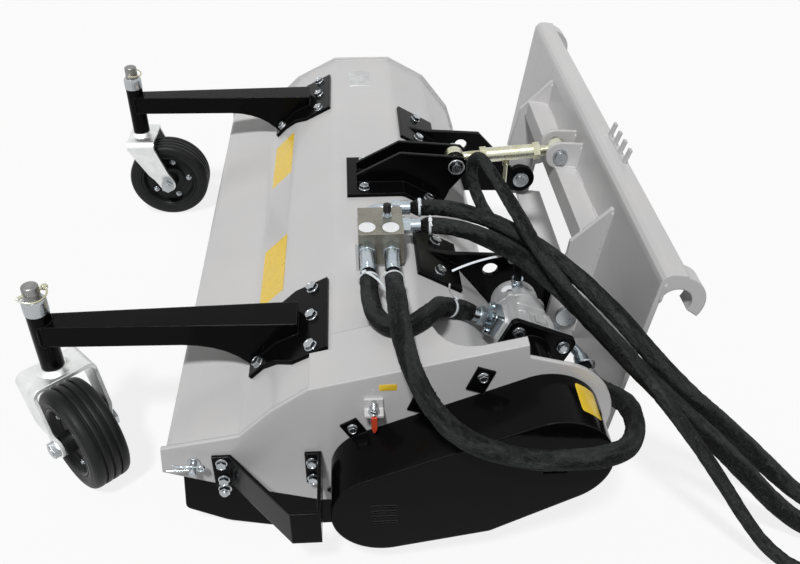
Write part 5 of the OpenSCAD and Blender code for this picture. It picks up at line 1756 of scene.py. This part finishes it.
    def collar(self, stem: Matrix) -> None:
        """Make the collar on top of the swivel tube and the linch pin with its ring laid down.

        Args:
            stem: Foot of the stem's axis, X along the axle.
        """
        shape = Shape()
        ends = ((15.2, 366.5), (21.2, 366.5), (22.0, 367.3), (22.0, 390.4), (19.4, 395.0), (18.4, 396.2), (15.2, 396.2))
        shape.lathe(stem, metres(ends), 48)
        node = f"castor_collar_{self.word}"
        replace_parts(shape.finish(f"collar_{self.word}", self.fork, ZINC, "zinc", 34.0), node)
        pin = Shape()
        place = stem @ frame_at(Vector((0, 0, self.pin_h * MM)), SIDEWAYS)
        bar = (
            (1.6, -29.0), (2.8, -27.4), (3.0, -26.0), (3.0, 19.0), (5.0, 20.0), (5.8, 22.4), (5.8, 25.4), (5.0, 28.6),
            (3.4, 30.2),
        )
        pin.lathe(place, metres(bar), 32)
        wire = []
        for k in range(41):
            a = math.pi * k / 40
            wire.append(stem @ (Vector((26.0 * math.cos(a), -24.5 * math.sin(a), self.pin_h - 5.5 * math.sin(a))) * MM))
        pin.sweep(wire, [UPWARD] * len(wire), round_section(1.9 * MM))
        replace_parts(pin.finish(f"linch_pin_{self.word}", self.fork, YELLOW_ZINC, "zinc", 34.0), node)


@dataclass(frozen=True)
class Station:
    """One cross-section of a casting: place along it, half width, half height, squareness and offset."""

    along: float
    wide: float
    high: float
    square: float
    shift: float = 0.0

    def outline(self, count: int) -> list[Pair]:
        """Sample the section.

        Args:
            count: Number of points.

        Returns:
            Points across and up, in millimetres.
        """
        points = []
        for k in range(count):
            a = math.tau * (k + 0.5) / count
            c, s = math.cos(a), math.sin(a)
            r = (abs(c) ** self.square + abs(s) ** self.square) ** (-1.0 / self.square)
            points.append((self.shift + self.wide * r * c, self.high * r * s))
        return points


@dataclass(frozen=True)
class Motor:
    """The gear motor's castings: flanged body with ports, and round end cover."""

    foot: Point = (-500.0, *MOTOR_AXIS)
    turn: float = MOTOR_TURN
    body: tuple[Station, ...] = (
        Station(0.2, 57.4, 49.4, 7.0, -8.0), Station(0.8, 58.0, 50.0, 7.0, -8.0),
        Station(14.8, 58.0, 50.0, 7.0, -8.0), Station(16.0, 56.8, 48.8, 7.0, -8.0),
        Station(16.6, 53.2, 47.2, 6.0, -3.5), Station(18.6, 50.6, 46.3, 5.0, -1.0), Station(23.0, 49.2, 45.8, 4.4),
        Station(34.0, 48.6, 45.6, 4.0), Station(58.0, 48.4, 45.8, 3.4), Station(76.0, 48.6, 46.6, 2.9),
        Station(88.0, 49.0, 47.8, 2.4), Station(94.0, 49.4, 49.0, 2.1), Station(96.6, 49.4, 49.4, 2.0),
        Station(97.4, 48.6, 48.6, 2.0),
    )
    cover: tuple[Station, ...] = (
        Station(97.8, 48.6, 48.6, 2.0), Station(98.6, 49.6, 49.6, 2.0), Station(106.4, 49.6, 49.6, 2.0),
        Station(107.8, 48.6, 48.6, 2.0), Station(109.0, 47.0, 47.0, 2.0), Station(112.0, 46.2, 46.2, 2.0),
        Station(144.0, 45.6, 45.6, 2.0), Station(150.0, 44.6, 44.6, 2.0), Station(155.0, 42.4, 42.4, 2.0),
        Station(159.0, 38.8, 38.8, 2.0), Station(161.4, 34.0, 34.0, 2.0), Station(162.0, 29.0, 29.0, 2.0),
        Station(160.8, 27.6, 27.6, 2.0), Station(160.6, 12.0, 12.0, 2.0),
    )

    def build(self) -> None:
        """Make body, cover and cover screws."""
        place = Matrix.Translation(spot(*self.foot)) @ Matrix.Rotation(self.turn, 4, "X")
        body = Shape()
        self.loft(body, place, self.body)
        self.relief(body, place)
        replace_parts(body.finish("motor_casting", Body.DECK, CAST, "cast_aluminium", 36.0), "motor_body")
        cover = Shape()
        self.loft(cover, place, self.cover)
        lug = ((8.4, 0.0), (9.0, 0.8), (9.0, 11.0), (8.0, 12.2), (5.0, 12.2))
        for seat in self.corners(place, 97.8):
            cover.lathe(seat, metres(lug), 28)
        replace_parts(cover.finish("motor_end_cover", Body.DECK, CAST, "cast_aluminium", 36.0), "motor_cover")
        screws = Shape()
        head = ((6.0, 0.0), (6.5, 0.5), (6.5, 7.2), (6.0, 8.0), (3.6, 8.0), (3.4, 4.0))
        for seat in self.corners(place, 110.0):
            screws.lathe(seat, metres(head), 28)
        screws.finish("motor_cover_screws", Body.DECK, ZINC, "zinc", 30.0)

    def relief(self, shape: Shape, place: Matrix) -> None:
        """Add the port bosses, ribs, pad and bars that stand out of the casting.

        Args:
            shape: Mesh to add to.
            place: Motor's own frame, X along its shaft.
        """
        boss = ((27, -20), (27, 20), (20, 27), (-20, 27), (-27, 20), (-27, -20), (-20, -27), (20, -27))
        rib = ((16.0, 44.0), (60.0, 42.0), (58.0, 45.8), (30.0, 50.8), (16.0, 49.6))
        pad = ((20.0, -11.0), (38.0, -11.0), (38.0, 11.0), (20.0, 11.0))
        bar = ((-32, 0), (32, 0), (26, 4.4), (-26, 4.4))
        for corner, out, side, outline, thick, chamfer in (
            ((57.0, -37.0, 0.0), -AHEAD, SIDEWAYS, boss, 14.8, 1.4),
            ((57.0, 37.0, 0.0), AHEAD, SIDEWAYS, boss, 14.8, 1.4),
            ((0.0, -24.0, 0.0), -AHEAD, SIDEWAYS, rib, 12.0, 1.6),
            ((0.0, 20.0, 0.0), -AHEAD, SIDEWAYS, rib, 12.0, 1.6),
            ((0.0, -8.0, 44.0), UPWARD, SIDEWAYS, pad, 8.5, 1.2),
            ((46.0, 0.0, 43.0), SIDEWAYS, AHEAD, bar, 3.0, 1.0),
            ((68.0, 0.0, 43.0), SIDEWAYS, AHEAD, bar, 3.0, 1.0),
        ):
            add_plate(shape, place @ frame_at(Vector(corner) * MM, out, side), outline, thick, chamfer)

    def corners(self, place: Matrix, along: float) -> list[Matrix]:
        """Find seats at the end cover's four corners, so far along from the flange."""
        seat = frame_at(Vector((along, 0.0, 45.0)) * MM, SIDEWAYS)
        return [place @ Matrix.Rotation(math.radians(45 + 90 * k), 4, "X") @ seat for k in range(4)]

    def loft(self, shape: Shape, place: Matrix, stations: Sequence[Station]) -> None:
        """Skin a row of sections.

        Args:
            shape: Mesh to add to.
            place: Motor's own frame, X along its shaft.
            stations: The sections.
        """
        rings = []
        for station in stations:
            rings.append(shape.ring(place @ (Vector((station.along, y, z)) * MM) for y, z in station.outline(96)))
        shape.tube(rings)


@dataclass(frozen=True)
class TopLink:
    """Threads on the top link's two rod ends."""

    front: Pair = (-190.0, 396.0)
    rear: Pair = (-417.968, 412.009)
    stud: float = 11.0
    crest: float = 0.9
    pitch: float = 2.6
    front_thread: Pair = (0.030, 0.0565)
    rear_thread: Pair = (0.0395, 0.0285)

    def build(self) -> None:
        """Make the threads beside the turnbuckle tube."""
        a, b = spot(0.0, *self.front), spot(0.0, *self.rear)
        place = frame_at(a, b - a)
        length = (b - a).length
        for name, body, start, end in (
            ("front_thread", Body.LINK_FRONT, *self.front_thread),
            ("rear_thread", Body.LINK_REAR, *(length - inset for inset in self.rear_thread)),
        ):
            shape = Shape()
            shape.lathe(place, thread((self.stud + self.crest) * MM, start, end, self.pitch * MM), 40)
            shape.finish(name, body, YELLOW_ZINC, "yellow_zinc", 25.0)


@dataclass(frozen=True)
class Dressing:
    """Gives each CAD node its finish."""

    finishes: dict[str, Finish]
    special: dict[str, Finish]

    def build(self) -> None:
        """Assign the finishes by the record's slots, and report each node."""
        slots = {part["node"]: part["material_slot"] for part in frame["record"]["subparts"]}
        for name, node in frame["nodes"].items():
            look = self.special.get(name) or self.finishes[slots[name]]
            node.data.materials.clear()
            node.data.materials.append(look.material())
            LOG.info("%s is dressed in %s", name, look.name)


COUPLERS: tuple[Coupler, ...] = (
    Coupler("feed_coupler", FEED, 14.0),
    Coupler("back_coupler", BACK, 14.0),
    Coupler("drain_coupler", DRAIN, 11.0),
)
TIES: tuple[CableTie, ...] = (
    CableTie(
        "tie_pressure_block", PRESSURE, (-446, 12, 398), 0.4, 0.075, 0.02,
        ((-462, -5.9, 418), (-474, -19.4, 388.7)),
    ),
    CableTie("tie_return_block", RETURN, (-446, -33, 398), 0.9, 0.018, 0.01),
    CableTie("tie_feed_block", FEED, (-206, -96, 398), 0.3, 0.014, 0.006),
    CableTie("tie_back_block", BACK, (-272, -112, 398), 0.5, 0.014, 0.006),
    CableTie(
        "tie_pressure_motor", PRESSURE, (-452, -135, 334), 0.2, 0.03, 0.01,
        ((-462, -128, 375.3), (-462, -132.6, 395.3)),
    ),
    CableTie(
        "tie_return_motor", RETURN, (-541, -389.5, 223.5), 0.2, 0.045, 0.01,
        ((-552, -394.8, 290), (-556, -366, 286)),
    ),
    CableTie("tie_drain", DRAIN, (-350, -272, 366), 0.6, 0.1, 0.02, ((-352, -213.7, 378), (-372, -147.3, 358.2))),
)
CRIMPS = CrimpSet("ferrule_crimps", (
    ((-425.0, 12.0, 398.0), (1.0, 0.0, 0.0), 14.0),
    ((-425.0, -33.0, 398.0), (1.0, 0.0, 0.0), 14.0),
    ((-206.0, -78.0, 398.0), (0.0, 1.0, 0.0), 14.0),
    ((-272.0, -94.0, 398.0), (0.0, 1.0, 0.0), 14.0),
    ((-501.0, -388.3, 219.6), (1.0, 0.0, 0.0), 14.0),
))

KNEE, SHOULDER, RIDGE = (237.0, 238.0), (178.0, 296.0), (73.0, 350.0)
CREST, HAUNCH = (-73.0, 350.0), (-170.0, 294.0)
BRACKET = 8.0


def on_line(a: Pair, b: Pair, share: float, lift: float) -> Seat:
    """Find a place above a slope of the hood's side view.

    Args:
        a: Start of the slope.
        b: End of the slope.
        share: Share of the way from start to end.
        lift: Height above the slope.

    Returns:
        The place at X = 0, and the slope's outward normal.
    """
    way = Vector((b[0] - a[0], b[1] - a[1])).normalized()
    out = Vector((way.y, -way.x))
    y = a[0] + (b[0] - a[0]) * share + out.x * lift
    z = a[1] + (b[1] - a[1]) * share + out.y * lift
    return (0.0, y, z), (0.0, out.x, out.y)


def shifted(seat: Seat, x: float) -> Seat:
    """Move a seat sideways.

    Args:
        seat: Place and normal.
        x: New sideways distance.

    Returns:
        The moved seat.
    """
    return (x, seat[0][1], seat[0][2]), seat[1]


def side_seats(x: float, places: Sequence[Pair]) -> tuple[Seat, ...]:
    """Seat screws on the drive's side of the deck.

    Args:
        x: Sideways distance of the face.
        places: Distance ahead of the rotor and height of each screw.

    Returns:
        The seats, facing out.
    """
    return tuple(((x, float(y), float(z)), (-1.0, 0.0, 0.0)) for y, z in places)


def motor_seat(y: float, z: float) -> Seat:
    """Seat a bolt on the motor's flange.

    Args:
        y: Distance across the flange.
        z: Distance up the flange.

    Returns:
        The seat, facing out.
    """
    c, s = math.cos(MOTOR_TURN), math.sin(MOTOR_TURN)
    return (-512.0, MOTOR_AXIS[0] + c * (y - 8.0) - s * z, MOTOR_AXIS[1] + s * (y - 8.0) + c * z), (-1.0, 0.0, 0.0)


ARM_ROW = on_line(SHOULDER, RIDGE, 0.62, BRACKET)
ARM_TOE = on_line(KNEE, SHOULDER, 0.48, BRACKET)
FOOT = on_line(CREST, HAUNCH, 0.53, BRACKET)
TOP: Seat = ((0.0, 10.0, 358.0), (0.0, 0.0, 1.0))
ARM_SEATS = tuple(
    shifted(seat, side * ARM_X + x)
    for side in Side
    for seat, row in ((ARM_ROW, (-83.0, 0.0, 83.0)), (ARM_TOE, (-48.0, 48.0)))
    for x in row
)
HEAD_SEATS = tuple(shifted(FOOT, side * x) for side in Side for x in (226.0, 330.0, 58.0)) + tuple(
    shifted(TOP, side * 58.0) for side in Side
)
GUARD_SEATS = side_seats(-673.0, ((48, 258), (-70, 322), (-166, 364), (-341, 191), (75, 100)))
STRIP_SEATS = side_seats(-676.0, ((274, 147), (274, 188), (120, 141), (120, 182)))
MOTOR_SEATS = tuple(motor_seat(y, z) for y in (-46.0, 46.0) for z in (-37.0, 37.0))
BOLTS: tuple[BoltSet, ...] = (
    BoltSet(
        "arm_bolt_set", "arm_bolts", ARM_SEATS,
        corner=11.0, head=8.0, washer=12.0, grip=12.0, shank=6.0, nut=True,
    ),
    BoltSet(
        "headstock_bolt_set", "headstock_bolts", HEAD_SEATS,
        corner=11.0, head=8.0, washer=12.0, grip=12.0, shank=6.0, nut=True,
    ),
    BoltSet(
        "motor_bolt_set", "motor_bolts", MOTOR_SEATS,
        corner=10.4, head=7.5, washer=11.8, grip=27.0, shank=6.0, nut=False,
    ),
    BoltSet(
        "guard_screw_set", "guard_bolts", GUARD_SEATS,
        corner=8.0, head=6.0, washer=9.4, grip=3.0, shank=4.0, nut=False,
    ),
    BoltSet(
        "strip_screw_set", "guard_bolts", STRIP_SEATS,
        corner=9.0, head=7.0, washer=10.4, grip=6.0, shank=4.0, nut=False,
    ),
)


def hitch_point(x: float, y: float, z: float) -> Point:
    """Turn a point of the hitch's own frame into the source's frame.

    Args:
        x: Sideways distance.
        y: Distance ahead of the lower pivot, square to the hitch.
        z: Height above the lower pivot, along the hitch.

    Returns:
        The point in millimetres.
    """
    c, s = math.cos(HITCH_LEAN), math.sin(HITCH_LEAN)
    return x, HITCH_PIVOT[0] + c * y - s * z, HITCH_PIVOT[1] + s * y + c * z


def hitch_seam(x: float, line: Sequence[Pair], radius: float) -> Seam:
    """Draw a seam that keeps its sideways place on the hitch.

    Args:
        x: Sideways distance.
        line: Points of the seam in the hitch's own frame.
        radius: Radius of the bead.

    Returns:
        The seam.
    """
    return Seam(tuple(hitch_point(x, y, z) for y, z in line), radius)


def hitch_seams() -> tuple[Seam, ...]:
    """List the hitch's weld seams.

    Returns:
        The seams.
    """
    seams = []
    for x in (-301.0, -291.0, 291.0, 301.0):
        seams.append(hitch_seam(x, ((-28.5, -46), (-28.5, 257)), 3.6))
    for side in Side:
        seams.append(hitch_seam(side * 291.0, ((-24, 202), (20, 202), (20, 163)), 3.2))
        for ear in (26.0, 34.0):
            seams.append(hitch_seam(side * ear, ((-28.5, 256), (-28.5, 203), (17, 202)), 3.0))
        for start, end in ((44.0, 108.0), (196.0, 262.0)):
            seams.append(Seam((hitch_point(side * start, -28.5, 202), hitch_point(side * end, -28.5, 202)), 3.2))
        for lug in (430.0, 445.0):
            seams.append(hitch_seam(side * lug, ((-38.5, -48), (-38.5, 32)), 3.2))
        for hook in (534.6, 575.0):
            seams.append(hitch_seam(side * hook, ((-38.5, 250), (-38.5, 290)), 3.0))
    return tuple(seams)


def arm_seams() -> tuple[Seam, ...]:
    """List the weld seams between each wheel arm's beam and its base plate.

    Returns:
        The seams.
    """
    seams = []
    low, high = on_line(KNEE, SHOULDER, 0.26, BRACKET)[0], on_line(SHOULDER, RIDGE, 0.34, BRACKET)[0]
    fold = on_line(SHOULDER, RIDGE, 0.03, BRACKET)[0]
    turns = [math.radians(180 + 7.5 * k) for k in range(25)]
    for arm in (-ARM_X, ARM_X):
        for out in (-1, 1):
            line = []
            for _, y, z in (low, fold, high):
                line.append((arm + out * (21.0 + (POST_Y - y) / 457.0 * 12.0), y, z))
            seams.append(Seam(tuple(line), 3.0))
            edge = arm + out * 20.6
            seams.append(Seam(((edge, POST_Y, 304.0), (edge, POST_Y, 344.0)), 3.2))
        _, y, z = high
        seams.append(Seam(((arm - 33.0, y - 1.0, z), (arm + 33.0, y - 1.0, z)), 2.6))
        for height in (302.0, 346.0):
            ring = ((arm + 21.6 * math.cos(a), POST_Y + 21.6 * math.sin(a), height) for a in turns)
            seams.append(Seam(tuple(ring), 2.6))
    return tuple(seams)


def headstock_seams() -> tuple[Seam, ...]:
    """List the weld seams of the headstock brackets.

    Returns:
        The seams.
    """
    seams = []
    start, end = on_line(CREST, HAUNCH, 0.36, BRACKET)[0], on_line(CREST, HAUNCH, 0.80, BRACKET)[0]
    fold = on_line(CREST, HAUNCH, 0.03, BRACKET)[0]
    for side in Side:
        for x in (262.0, 274.0):
            seams.append(Seam(((side * x, start[1], start[2]), (side * x, end[1], end[2])), 3.0))
        for x in (23.0, 31.0):
            seams.append(Seam(((side * x, 25.0, 358.0), (side * x, fold[1], fold[2]), (side * x, end[1], end[2])), 3.0))
    return tuple(seams)


def hood_seams() -> tuple[Seam, ...]:
    """List the weld seams between the hood and its side plates.

    Returns:
        The seams.
    """
    fold = ((368.0, 214.0), KNEE, SHOULDER, RIDGE)
    rear = (CREST, HAUNCH, (-241.0, 200.0), (-262.0, 136.0))
    left = tuple((-661.6, y, z) for y, z in fold)
    right = tuple((661.6, y, z) for y, z in (*fold, *rear))
    stay = ((-540.0, 54.0, 350.0), (-540.0, -68.0, 350.0))
    return Seam(left, 2.4), Seam(right, 2.4), Seam(stay, 2.6)


WELDS: tuple[WeldSet, ...] = (
    WeldSet("hitch_seams", Body.HITCH, GREY_PAINT, hitch_seams()),
    WeldSet("arm_seams", Body.DECK, BLACK_PAINT, arm_seams()),
    WeldSet("headstock_seams", Body.DECK, BLACK_PAINT, headstock_seams()),
    WeldSet("hood_seams", Body.DECK, GREY_PAINT, hood_seams()),
)

LABELS: tuple[Label, ...] = (
    Label(
        "front_film_right", Body.DECK, YELLOW_FILM,
        ((137.0, 233.4, 241.6), (342.0, 233.4, 241.6), (137.0, 180.5, 293.6)),
    ),
    Label(
        "front_film_left", Body.DECK, YELLOW_FILM,
        ((-331.0, 229.6, 245.3), (-133.0, 229.6, 245.3), (-331.0, 177.9, 296.1)),
    ),
    Label(
        "bare_type_plate", Body.DECK, BARE_PLATE,
        ((489.0, 36.0, 350.0), (489.0, -20.0, 350.0), (588.0, 36.0, 350.0)), 0.003, 0.0008,
    ),
    Label(
        "side_film", Body.DECK, YELLOW_FILM,
        ((-670.1, 3.0, 338.6), (-670.1, -26.3, 338.6), (-670.1, 3.0, 352.0)), 0.001,
    ),
)
FLAT = 9000.0
CURVED: tuple[CurvedLabel, ...] = (
    CurvedLabel("block_disc_left", WHITE_FILM, (11.0, 428.0 - FLAT), FLAT, (-320.0, 90.0), (34.0, 32.0), 1.0),
    CurvedLabel("block_disc_right", WHITE_FILM, (-34.0, 428.0 - FLAT), FLAT, (-322.0, 90.0), (34.0, 32.0), 1.0),
    CurvedLabel("guard_film", YELLOW_FILM, MOTOR_AXIS, 93.0, (-716.0, 128.0), (64.0, 44.0), 0.2),
    CurvedLabel("motor_oval_near", WHITE_FILM, MOTOR_AXIS, 46.1, (-371.0, 64.0), (15.0, 23.0), 1.0),
    CurvedLabel("motor_oval_far", WHITE_FILM, MOTOR_AXIS, 46.1, (-365.0, 118.0), (15.0, 24.0), 1.0, 0.5),
)


def main() -> None:
    """Build the whole scene, and report each piece as it is made."""
    logging.basicConfig(level=logging.INFO, format="%(name)s: %(message)s")
    PhotoCamera().build()
    Dressing(SLOT_FINISH, NODE_FINISH).build()
    ends = {end.hose: end for end in COUPLERS}
    for index, hose in enumerate(HOSES):
        end = ends.get(index)
        made = hose.build([end.build()] if end else [])
        LOG.info("%s is %.3f m long", made.name, length_of(hose.line()))
    castors = (
        Castor(Side.LEFT, LEFT_SWIVEL, Body.WHEEL_LEFT, Body.CASTOR_LEFT),
        Castor(Side.RIGHT, 0.0, Body.WHEEL_RIGHT, Body.CASTOR_RIGHT),
    )
    single = (TopLink(), Motor(), Tensioner(), SkidPins(), TestPoint(), CRIMPS, Studio())
    for part in (*TIES, *BOLTS, *WELDS, *LABELS, *CURVED, *castors, *single):
        part.build()


if __name__ == "__main__":
    main()
